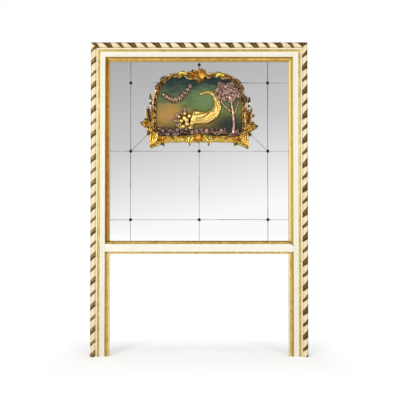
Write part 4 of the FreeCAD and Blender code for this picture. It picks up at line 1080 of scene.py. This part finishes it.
def panel_outline(spacing=4 * MM):
    """Points up the right side of the panel, round its shoulder and over its lobe to the dip.

    Each is x, height above the rail, and the outward direction there.
    """
    inward = panel_half - shoulder[0]
    rise = shoulder[1] - side_height
    radius = (inward ** 2 + rise ** 2) / (2 * inward)
    turn = math.asin(rise / radius)
    points = []
    steps = int(side_height / spacing)
    for index in range(steps):
        points.append((panel_half, side_height * index / steps, 1.0, 0.0))
    steps = int(radius * turn / spacing)
    for index in range(steps):
        angle = turn * index / steps
        points.append((panel_half - radius + radius * math.cos(angle),
                       side_height + radius * math.sin(angle), math.cos(angle), math.sin(angle)))
    middle, reach = circle_through(shoulder, lobe_top, dip)
    first = math.atan2(shoulder[1] - middle[1], shoulder[0] - middle[0])
    last = math.atan2(dip[1] - middle[1], dip[0] - middle[0])
    steps = int(reach * (last - first) / spacing)
    for index in range(steps + 1):
        angle = first + (last - first) * index / steps
        points.append((middle[0] + reach * math.cos(angle), middle[1] + reach * math.sin(angle),
                       math.cos(angle), math.sin(angle)))
    return points


outline_points = panel_outline()


# ---- cartouche ----

def rim_sweep(carving, side, last):
    """Inner fillet, cove and outer roll of the rim, along the panel's outline."""
    section = [
        (-15, -1), (-15, 11), (-13, 13), (-11, 13), (-10, 9), (-7, 6), (0, 6), (6, 8), (13, 12),
        (18, 8), (17, -1),
    ]
    rings = []
    for x, height, out_x, out_z in outline_points[:last]:
        rings.append([
            on_board(side * (x + out_x * u * MM), height + out_z * u * MM, rise * MM)
            for u, rise in section
        ])
    skin_rings(carving, rings)


def make_rim(side, name):
    """A smooth outer rod, small leaves in the cove beside it, and sprigs that lap over it."""
    last = next(index for index, point in enumerate(outline_points)
                if point[1] > side_height and point[0] < rim_end)
    cove = bmesh.new()
    rim_sweep(cove, side, last)
    carve("carved_rim_" + name, cove, cove_gold, ["cartouche_rim_" + name])
    rod = bmesh.new()
    add_rod(rod, [
        (on_board(side * (x + out_x * 13 * MM), height + out_z * 13 * MM, 13 * MM),
         7.5 * MM * (1 - 0.2 * math.sin(index * 0.21) ** 2))
        for index, (x, height, out_x, out_z) in enumerate(outline_points[:last])
    ], sides=16)
    carve("rim_rod_" + name, rod, rim_gold)
    leaves = bmesh.new()
    chooser = random.Random(5 + side)
    count = 26
    for index in range(count):
        x, height, out_x, out_z = outline_points[int((0.04 + 0.92 * index / count) * last)]
        outward = math.degrees(math.atan2(out_z, out_x))
        root = (x - out_x * 10 * MM, height - out_z * 10 * MM)
        tip = spoke(root, outward + 50 + 44 * (index % 2), (30 + 9 * chooser.random()) * MM)
        add_leaf(leaves, (side * root[0], root[1]), (side * tip[0], tip[1]), 23 * MM, 10 * MM,
                 bend=-side * 0.16, lift=7 * MM, lobes=2, base=10 * MM)
    carve("rim_leaves_" + name, leaves, cove_gold)
    sprigs = bmesh.new()
    for place in rim_sprig_places[side]:
        x, height, out_x, out_z = min(outline_points,
                                      key=lambda point: math.dist(point[:2], place))
        outward = math.degrees(math.atan2(out_z, out_x))
        root = (x + out_x * 7 * MM, height + out_z * 7 * MM)
        for turn, length in sprig_fan:
            tip = spoke(root, outward + turn, length * (0.9 + 0.2 * chooser.random()) * MM)
            add_leaf(sprigs, (side * root[0], root[1]), (side * tip[0], tip[1]), 21 * MM, 9 * MM,
                     bend=side * 0.12, lift=4 * MM, lobes=2, base=19 * MM)
        add_ball(sprigs, on_board(side * root[0], root[1], 26 * MM), 7.0 * MM)
    shift, drop = (0.0, 0.0) if side < 0 else (18 * MM, -16 * MM)
    for root, tip in (((205, 472), (240, 496)), ((196, 480), (214, 497))):
        add_leaf(sprigs, (side * (root[0] * MM + shift), root[1] * MM + drop),
                 (side * (tip[0] * MM + shift), tip[1] * MM + drop), 17 * MM, 9 * MM,
                 lift=5 * MM, base=13 * MM)
    carve("rim_sprigs_" + name, sprigs, dark_gold)


def make_crest():
    """A tall shell a little to the right, an opened leaf at its left, and a pendant below."""
    carving = bmesh.new()
    add_shell(carving, (20 * MM, 450 * MM), 91 * MM, 130, 5, 20 * MM, 6 * MM, 0.72)
    add_leaves(carving, [((8, 516), (-4, 547), 18, 0.0)], 10, lift=5, base=12)
    root = (-12, 478)
    add_leaves(carving, [
        (root, (-58, 522), 36, -0.16), (root, (-97, 505), 40, -0.12), (root, (-92, 474), 30, 0.10),
        (root, (-50, 452), 24, 0.16),
    ], 16, lift=9, base=8, lobes=2)
    add_ball(carving, on_board(-30 * MM, 484 * MM, 20 * MM), 12 * MM)
    carve("carved_crest_shell", carving, shell_gold, ["crest_shell"])
    collar = bmesh.new()
    add_leaves(collar, [
        ((2, 468), (0, 426), 28, 0.0), ((14, 462), (38, 434), 22, 0.15),
        ((-6, 462), (-42, 442), 24, -0.18), ((-44, 462), (-120, 484), 26, 0.14),
        ((44, 488), (70, 446), 26, 0.2), ((52, 474), (98, 468), 24, -0.1),
    ], 15, lift=8, base=9)
    add_bow(collar, (46 * MM, 493 * MM), (138 * MM, 498 * MM), 0.05, 7 * MM, 17 * MM)
    carve("crest_collar", collar, rim_gold)
    tips = bmesh.new()
    add_leaves(tips, [((-50, 508), (-57, 534), 15, 0.0)], 9, lift=4, base=16)
    for index in range(5):
        x = (72 + 14 * index) * MM
        add_leaf(tips, (x, 490 * MM), (x - 12 * MM, 462 * MM), 17 * MM, 11 * MM, bend=0.15,
                 lift=4 * MM, base=9 * MM)
    carve("crest_tips", tips, dark_gold)


def make_crest_scroll(side, name):
    """A fat, smooth crescent that lies along the lobe of the panel, with a leaf at each end."""
    carving = bmesh.new()
    x, z = crest_scroll_places[side]
    for root_z, thick, rise in ((-4 * MM, 16 * MM, 15 * MM), (-17 * MM, 8 * MM, 12 * MM)):
        add_bow(carving, (side * (x - 35 * MM), z + root_z - 12 * MM),
                (side * (x + 36 * MM), z + root_z - 16 * MM), side * 0.25, thick, rise, ends=0.3,
                steps=30)
    carve("carved_crest_scroll_" + name, carving, pale_gold, ["crest_scroll_" + name])
    leaves = bmesh.new()
    for root, tip in (((24, -12), (72, -40)), ((-26, -8), (-62, -18)), ((6, -24), (44, -42))):
        add_leaf(leaves, (side * (x + root[0] * MM), z + root[1] * MM),
                 (side * (x + tip[0] * MM), z + tip[1] * MM), 24 * MM, 13 * MM,
                 lift=4 * MM, base=10 * MM)
    carve("crest_leaves_" + name, leaves, rim_gold)


def make_spray(side, name):
    """Upright leaves against the rim, a pointed leaf that stands out sideways, and a bud spire."""
    sag = 0.0 if side < 0 else -28 * MM

    def place(x, height, share=0.0):
        return side * x * MM, height * MM + sag * share

    carving = bmesh.new()
    leaves = [
        ((404, 96), (421, 226), 33, 0.02, 6, 10, 0, 0.0),
        ((378, 96), (374, 236), 32, 0.02, 5, 8, 0, 0.0),
        ((376, 98), (466, 103), 50, 0.0, 8, 9, 0, 1.0),
        ((392, 108), (446, 122), 34, 0.08, 5, 7, 2, 1.0),
        ((390, 84), (446, 74), 36, 0.10, 6, 8, 2, 1.0),
        ((390, 74), (412, 12), 38, 0.06, 6, 8, 2, 0.3),
        ((368, 70), (374, -4), 34, 0.05, 4, 9, 0, 0.0),
    ]
    for root, tip, width, bend, lift, base, lobes, share in leaves:
        add_leaf(carving, place(*root, share / 2), place(*tip, share), width * MM, 17 * MM,
                 bend=side * bend, lift=lift * MM, lobes=lobes, base=base * MM)
    add_disc(carving, on_board(*place(384, 92, 0.5), 0.0), 24 * MM, 16 * MM)
    add_flower(carving, place(382, 88, 0.5), 22 * MM, 17 * MM, turn=20)
    carve("carved_spray_" + name, carving, carved_gold, ["side_spray_" + name])
    dark = bmesh.new()
    x = spire_places[side] * MM * side
    low = 0.0 if side < 0 else -24 * MM
    add_bow(dark, (x, 206 * MM), (x, 318 * MM + low), 0.0, 3.0 * MM, 11 * MM)
    add_leaf(dark, (x, 308 * MM + low), (x, 337 * MM + low), 16 * MM, 10 * MM,
             base=9 * MM)
    for height, radius in ((301, 12.0), (259, 10.5)):
        add_ball(dark, on_board(x, height * MM + low, 14 * MM), radius * MM)
    for root, tip, width, share in (
        ((396, 116), (402, 240), 24, 0.0), ((440, 99), (473, 104), 28, 1.0),
        ((400, 36), (416, 7), 22, 0.3), ((408, 116), (440, 139), 18, 1.0),
        ((372, 118), (398, 128), 16, 0.5),
    ):
        add_leaf(dark, place(*root, share), place(*tip, share), width * MM, 11 * MM,
                 lift=4 * MM, base=15 * MM)
    if side > 0:
        add_leaf(dark, place(420, 150), place(448, 171), 16 * MM, 9 * MM, base=9 * MM)
    carve("spray_tips_" + name, dark, dark_gold, voxel=spray_voxel)
    # painted highlight on the pale buds
    pale = bmesh.new()
    for height, radius in ((280, 12.5), (239, 13.0), (220, 11.0)):
        add_ball(pale, on_board(x, height * MM + low, 15 * MM), radius * MM)
    add_leaf(pale, (x, 218 * MM + low), (x - side * 8 * MM, 178 * MM), 22 * MM, 10 * MM,
             base=13 * MM)
    carve("spray_pearls_" + name, pale, bud_highlight_gold, voxel=spray_voxel)


def rail_drop(x):
    """How far the rail's lower edge has sunk towards the foot, at a distance from its middle."""
    straight = 200 * MM
    beyond = max(0.0, abs(x) - straight) / (corner_place[0] + 22 * MM - straight)
    return 50 * MM * min(1.0, beyond) ** 2.2


def make_corner(side, name):
    """A fluted foot that runs down from the rim and curls out to a pointed toe."""
    carving = bmesh.new()
    toe = (corner_place[0] + 30 * MM, corner_place[1] - (50 if side < 0 else 58) * MM)
    steps = 28
    for index, top in enumerate((338, 354, 371, 388)):
        stops = []
        for step in range(steps + 1):
            share = step / steps
            end_x = toe[0] + (index - 2) * 4 * MM
            x = top * MM + (end_x - top * MM) * share ** 2.4
            x -= (3 - index) * 3 * MM * math.sin(math.pi * share)
            z = 24 * MM + (toe[1] + (3 - index) * 6 * MM - 24 * MM) * share
            stops.append((on_board(side * x, z, (11 + 5 * math.sin(math.pi * share)) * MM),
                          (8.5 - 3.5 * share ** 2) * MM))
        add_rod(carving, stops)
    add_leaf(carving, (side * (toe[0] - 4 * MM), toe[1] + 30 * MM),
             (side * (toe[0] + 4 * MM), toe[1] - 5 * MM), 17 * MM, 12 * MM, bend=-side * 0.16,
             lift=5 * MM, base=12 * MM)
    add_leaves(carving, [
        ((346, 6), (316, -40), 26, -0.16), ((352, -20), (330, -62), 22, -0.16),
        ((350, 22), (392, 16), 20, -0.16),
    ], 13, lift=5, base=11, side=side, lobes=2)
    carve("carved_corner_" + name, carving, carved_gold, ["corner_scroll_" + name])


def make_rail():
    """Ribs that fan out to the feet, leaves that run down to pendants, and a wide shell between."""
    ribs = bmesh.new()
    reach = rail_half - 6 * MM
    steps = 90
    for height, follow, thick, rise in (
        (-7, 0.0, 6.5, 12), (-20, 0.35, 11, 9), (-33, 0.7, 11, 8), (-43, 1.0, 7, 11),
    ):
        stops = []
        for step in range(steps + 1):
            x = -reach + 2 * reach * step / steps
            wave = 2.0 * MM * math.cos(x / (64 * MM) * math.pi) if follow > 0.5 else 0.0
            stops.append((on_board(x, height * MM - follow * rail_drop(x) + wave, rise * MM),
                          thick * MM))
        add_rod(ribs, stops, flatten=0.8)
    carve("carved_rail", ribs, rail_gold, ["cartouche_base_rail"])
    leaves = bmesh.new()
    scrolls = bmesh.new()
    tips = bmesh.new()
    for side, _ in SIDES:
        add_leaves(leaves, [((34, 6), (79, -74), 38, 0.18), ((62, -8), (122, -30), 28, 0.14)],
                   17, lift=5, base=13, side=side)
        add_leaves(scrolls, [
            ((258, -12), (300, -58), 42, 0.14), ((250, -14), (200, -30), 26, -0.10),
            ((288, -8), (332, -40), 32, 0.12), ((118, -12), (180, -18), 24, 0.08),
        ], 16, lift=5, base=12, side=side, lobes=2)
        add_leaves(tips, [
            ((73, -60), (80, -78), 14, 0.0), ((284, -58), (288, -82), 14, 0.0),
            ((300, -58), (306, -74), 14, 0.0),
        ], 10, lift=3, base=13, side=side)
    carve("rail_leaves", leaves, pale_gold)
    carve("rail_scrolls", scrolls, shell_gold)
    carve("rail_tips", tips, dark_gold)
    shell = bmesh.new()
    add_shell(shell, (-10 * MM, -34 * MM), 60 * MM, 150, 7, 17 * MM, 12 * MM, 0.88)
    root = (-10, -28)
    add_leaves(shell, [(root, (-46, -44), 24, 0.0), (root, (-10, -58), 24, 0.0),
                       (root, (28, -44), 24, 0.0)], 13, lift=4, base=12)
    carve("rail_shell", shell, shell_gold)


# ---- relief on the panel ----

def on_panel(across_share, up_share):
    """A place on the panel, from its middle outwards and from its rail upwards."""
    return across_share * panel_half, up_share * shoulder[1]


def horn_line(share):
    """Middle of the horn, from its tail, at 0, to its mouth, at 1."""
    points = [on_panel(0.06, 0.74), on_panel(0.50, 0.92), on_panel(0.62, 0.16),
              on_panel(-0.16, 0.34)]
    rest = 1 - share
    weights = [rest ** 3, 3 * share * rest ** 2, 3 * share ** 2 * rest, share ** 3]
    x = sum(weight * point[0] for weight, point in zip(weights, points))
    z = sum(weight * point[1] for weight, point in zip(weights, points))
    return x, z


def make_horn():
    """A fluted horn, twisted, with bands, a flared mouth and a curled tail."""
    carving = bmesh.new()
    steps = 90
    sides = 40
    rings = []
    for step in range(steps + 1):
        share = step / steps
        x, z = horn_line(share)
        near = horn_line(share + 0.005)
        length = math.dist((x, z), near)
        side_x, side_z = (z - near[1]) / length, (near[0] - x) / length
        radius = (7 + 41 * share ** 1.2) * MM
        flare = 6 * MM * max(0.0, (share - 0.93) / 0.07) ** 2
        band = sum(math.exp(-((share - place) / 0.012) ** 2) for place in (0.43, 0.71, 0.985))
        ring = []
        for side in range(sides):
            angle = 2 * math.pi * side / sides
            flute = 0.15 * math.cos(8 * (angle + 5.5 * share)) * (1 - min(1.0, band))
            reach = (radius + flare + 5 * MM * band) * (1 + flute)
            ring.append(on_ground(
                x + side_x * reach * math.cos(angle), z + side_z * reach * math.cos(angle),
                0.28 * radius + 0.37 * reach * math.sin(angle),
            ))
        rings.append(ring)
    skin_rings(carving, rings)
    add_volute(carving, horn_line(0.0), 12 * MM, 0.9, 150, 5 * MM, 4 * MM)
    carve("carved_horn", carving, relief_gold, ["relief_horn"], voxel=relief_voxel)


def make_fruit():
    """Fruit, grapes and leaves that spill from the horn's mouth."""
    mouth = horn_line(1.0)
    centre = (mouth[0] - 43 * MM, mouth[1] - 29 * MM)
    carving = bmesh.new()
    for index in range(11):
        x, z = spoke(centre, index * golden_angle, 22 * MM * math.sqrt(index))
        radius = (23 - 0.8 * index) * MM
        add_ball(carving, on_ground(x, z, radius * 0.35), radius, 0.8)
        add_ball(carving, on_ground(x + 3 * MM, z + 2 * MM, radius * 1.12), 2.5 * MM)
    for angle, reach in ((40, 62), (232, 74), (300, 66)):
        middle = spoke(centre, angle, reach * MM)
        for index in range(10):
            x, z = spoke(middle, index * golden_angle, 7 * MM * math.sqrt(index))
            add_ball(carving, on_ground(x, z, (9 - 0.6 * index) * MM), 6.5 * MM)
    carve("carved_fruit", carving, relief_gold, ["relief_fruit"], voxel=relief_voxel)
    leaves = bmesh.new()
    for angle, length in ((150, 74), (178, 84), (206, 76), (98, 72), (120, 58), (262, 60)):
        add_leaf(leaves, spoke(centre, angle, 34 * MM), spoke(centre, angle, (34 + length) * MM),
                 34 * MM, 12 * MM, bend=0.08, lift=6 * MM, lobes=5, base=1 * MM, at=on_ground)
    carve("fruit_leaves", leaves, rose, voxel=relief_voxel)


def add_foliage(carving, centre, radius, rise, chooser):
    """A mass of small leaves over a low dome."""
    add_ball(carving, on_ground(*centre, 0.0), radius * 0.92, rise / radius * 0.7)
    count = 16
    for index in range(count):
        reach = radius * math.sqrt(index / count)
        x, z = spoke(centre, index * golden_angle, reach)
        height = rise * (0.78 * math.sqrt(max(0.0, 1 - (reach / radius) ** 2)))
        tip = spoke((x, z), chooser.uniform(0, 360), 15 * MM)
        add_leaf(carving, (x, z), tip, 12 * MM, 5 * MM, lift=4 * MM, base=height,
                 at=on_ground)


def make_tree():
    """A leaning tree with a forked trunk and clumps of leaves."""
    carving = bmesh.new()
    chooser = random.Random(11)
    boughs = [
        ((0.76, 0.04), (0.66, 0.74), -0.06, 13), ((0.71, 0.42), (0.44, 0.74), 0.10, 8),
        ((0.72, 0.34), (0.88, 0.62), -0.10, 7), ((0.68, 0.58), (0.78, 0.84), -0.06, 6),
    ]
    steps = 24
    for root, tip, bend, thick in boughs:
        stops = []
        for index in range(steps + 1):
            share = index / steps
            place, _ = curve_point(on_panel(*root), on_panel(*tip), bend, share)
            stops.append((on_ground(place.x + 2 * MM * math.sin(9 * share), place.y, 6 * MM),
                          thick * MM * (1.1 - 0.6 * share + 0.08 * math.sin(23 * share))))
        add_rod(carving, stops)
    for index in range(15):
        spread = 0.05 * math.sqrt(index)
        centre = on_panel(0.64 + 1.45 * spread * math.cos(index * 2.4),
                          0.75 + 0.85 * spread * math.sin(index * 2.4))
        add_foliage(carving, centre, (30 + 5 * math.sin(index * 3.1)) * MM, 17 * MM, chooser)
    carve("carved_tree", carving, rose, ["relief_tree"])


def make_rocks():
    """Broken ground along the foot of the panel: flat layers of rock with tufts and flowers."""
    carving = bmesh.new()
    chooser = random.Random(7)
    limit = panel_half - 22 * MM
    layers = 64
    for index in range(layers):
        x = -limit + 2 * limit * (index + chooser.random()) / layers
        crest = (30 + 13 * math.sin(x * 17) + 7 * math.sin(x * 41)) * MM
        height = chooser.uniform(6 * MM, max(10 * MM, crest))
        lean = chooser.choice((0, 180)) + chooser.uniform(-32, 32)
        tip = spoke((x, height), lean, chooser.uniform(34, 66) * MM)
        tip = (max(-limit, min(limit, tip[0])), max(4 * MM, tip[1]))
        add_leaf(carving, (x, height), tip, chooser.uniform(15, 25) * MM,
                 chooser.uniform(9, 17) * MM, bend=chooser.uniform(-0.25, 0.25), lift=3 * MM,
                 lobes=chooser.choice((0, 2)), base=chooser.uniform(1, 9) * MM, at=on_ground)
    for index in range(6):
        x = -limit + 40 * MM + 2 * (limit - 40 * MM) * index / 5
        add_flower(carving, (x, (38 + 9 * math.sin(index * 2.3)) * MM), 15 * MM, 14 * MM,
                   at=on_ground)
    for index in range(30):
        root = (chooser.uniform(-limit, limit), chooser.uniform(30, 46) * MM)
        angle = 90 + chooser.uniform(-55, 55)
        add_leaf(carving, root, spoke(root, angle, chooser.uniform(20, 34) * MM), 13 * MM, 8 * MM,
                 bend=chooser.uniform(-0.2, 0.2), lift=4 * MM, base=4 * MM, at=on_ground)
    carve("carved_mounds", carving, rose, ["relief_rocks"], relief_voxel)


def make_garland():
    """A swag of lobed leaves, berries and small flowers, thinner towards its ends."""
    carving = bmesh.new()
    chooser = random.Random(3)
    count = 11
    for index in range(count):
        share = index / (count - 1)
        sag = 0.16 * math.sin(math.pi * share)
        full = 0.72 + 0.36 * math.sin(math.pi * share)
        centre = on_panel(-0.80 + 0.60 * share, 0.72 + 0.15 * share - sag)
        for turn in (0, 65, 130, 185, 245, 310):
            angle = turn + chooser.uniform(-15, 15)
            add_leaf(carving, centre, spoke(centre, angle, full * 31 * MM), full * 18 * MM,
                     9 * MM, bend=0.08, lift=5 * MM, lobes=3, base=1 * MM, at=on_ground)
        if index % 3 == 1:
            add_flower(carving, centre, 16 * MM, 12 * MM, at=on_ground)
        else:
            for berry in range(3):
                x, z = spoke(centre, 120 * berry + 30, 7 * MM)
                add_ball(carving, on_ground(x, z, 12 * MM), 6.5 * MM)
    carve("carved_garland", carving, rose, ["relief_garland"], relief_voxel)


# ---- floor, light and camera ----

def make_floor():
    """A pale floor that keeps the mirror's shadow and turns into the white round it."""
    reach = 30.0
    mesh = bpy.data.meshes.new("floor")
    mesh.from_pydata([(-reach, -reach, 0), (reach, -reach, 0), (reach, reach, 0),
                      (-reach, reach, 0)], [], [(0, 1, 2, 3)])
    floor = bpy.data.objects.new("floor", mesh)
    bpy.context.scene.collection.objects.link(floor)
    material, tree, surface = new_material("pale floor")
    tree.nodes.remove(surface)
    rays = add(tree, "ShaderNodeLightPath").outputs
    seen = calc(tree, "MAXIMUM", rays["Is Camera Ray"], rays["Is Glossy Ray"])
    seen = calc(tree, "MAXIMUM", seen, rays["Is Transmission Ray"])
    parts = split(tree, surface_point(tree))
    # it turns white between these distances from the mirror's middle
    depth_fade = (0.30, 0.70)
    width_fade = (0.86, 1.15)
    behind = span(tree, calc(tree, "ABSOLUTE", parts["Y"]), *depth_fade)
    beside = span(tree, calc(tree, "ABSOLUTE", parts["X"]), *width_fade)
    far = calc(tree, "MAXIMUM", behind, beside)
    cloud = place_group(tree, patches, scale=3.0, low=0.3, high=0.7)
    pale = blend_colour(tree, cloud, (0.88, 0.88, 0.88), (0.86, 0.86, 0.86))
    matt = add(tree, "ShaderNodeBsdfDiffuse", {"Color": pale})
    lift = add(tree, "ShaderNodeEmission", {
        "Color": (1, 1, 1, 1), "Strength": calc(tree, "MULTIPLY", seen, floor_lift),
    })
    near = add(tree, "ShaderNodeAddShader", {0: matt.outputs[0], 1: lift.outputs[0]})
    white = add(tree, "ShaderNodeEmission", {"Color": (1, 1, 1, 1)})
    both = add(tree, "ShaderNodeMixShader", {
        0: calc(tree, "MULTIPLY", seen, far), 1: near.outputs[0], 2: white.outputs[0],
    })
    fill(tree, tree.nodes["Material Output"], {"Surface": both.outputs[0]})
    mesh.materials.append(material)


def make_world():
    """Even light; mirrored, the studio is white low down, grey above and dim at the sides."""
    world = bpy.data.worlds.new("studio")
    bpy.context.scene.world = world
    world.use_nodes = True
    tree = world.node_tree
    rays = add(tree, "ShaderNodeLightPath").outputs
    direction = add(tree, "ShaderNodeTexCoord").outputs["Generated"]
    parts = split(tree, direction)
    # the bands of grey lean a little, about a line beside the middle
    aside = 0.115
    slope = 0.22
    leaning = calc(tree, "MULTIPLY", calc(tree, "ADD", parts["X"], aside), slope)
    height = span(tree, calc(tree, "SUBTRACT", parts["Z"], leaning), -1.0, 1.0)
    bands = [(-1.0, 0.97), (-0.035, 0.97), (0.021, 0.82), (0.10, 0.60), (0.172, 0.50),
             (0.225, 0.43), (0.50, 0.30), (1.0, 0.30)]
    studio = colour_ramp(tree, height, [((sine + 1) / 2, (grey,) * 3) for sine, grey in bands])
    dim = (0.16, 0.14, 0.12)
    for low, high, tone in ((0.25, 0.6, dim), (-0.25, -0.5, (0.80, 0.79, 0.77)),
                            (-0.75, -0.92, dim)):
        studio = blend_colour(tree, span(tree, parts["X"], low, high), studio, tone)
    mirrored = calc(tree, "MAXIMUM", rays["Is Glossy Ray"], rays["Is Transmission Ray"])
    colour = blend_colour(tree, mirrored, (0.52, 0.52, 0.52), studio)
    colour = blend_colour(tree, rays["Is Camera Ray"], colour, (1.0, 1.0, 1.0))
    fill(tree, tree.nodes["Background"], {"Color": colour, "Strength": 1.0})


def aim(thing, place, target):
    thing.location = place
    thing.rotation_euler = (Vector(target) - Vector(place)).to_track_quat("-Z", "Y").to_euler()


def make_lamps():
    """A large soft lamp at the upper left, and a weaker one at the right."""
    for name, place, size, power in (
        ("key lamp", (-2.8, -4.8, 2.7), 1.8, 108.0),
        ("fill lamp", (3.0, -4.8, 1.8), 1.8, 76.0),
    ):
        data = bpy.data.lights.new(name, "AREA")
        data.size = size
        data.energy = power
        lamp = bpy.data.objects.new(name, data)
        bpy.context.scene.collection.objects.link(lamp)
        aim(lamp, place, (0.0, 0.0, 1.4))


def make_camera():
    """Nearly square on, from a little under half the mirror's height."""
    distance = 5.2
    view_width = 3.179
    aside = 0.0065
    eye_height = 1.132
    target_height = 1.2435
    data = bpy.data.cameras.new("camera")
    data.sensor_width = 36.0
    data.lens = data.sensor_width * distance / view_width
    camera = bpy.data.objects.new("camera", data)
    bpy.context.scene.collection.objects.link(camera)
    face = rope_low.y
    aim(camera, (aside, face - distance, eye_height), (aside, face, target_height))
    bpy.context.scene.camera = camera


# ---- the whole ----

bpy.context.scene.view_settings.view_transform = "Standard"
make_camera()
finish_frame_nodes()
make_ropes()
make_cracks()
for hand, hand_name in SIDES:
    make_rim(hand, hand_name)
    make_crest_scroll(hand, hand_name)
    make_spray(hand, hand_name)
    make_corner(hand, hand_name)
make_crest()
make_rail()
make_horn()
make_fruit()
make_tree()
make_rocks()
make_garland()
make_floor()
make_world()
make_lamps()
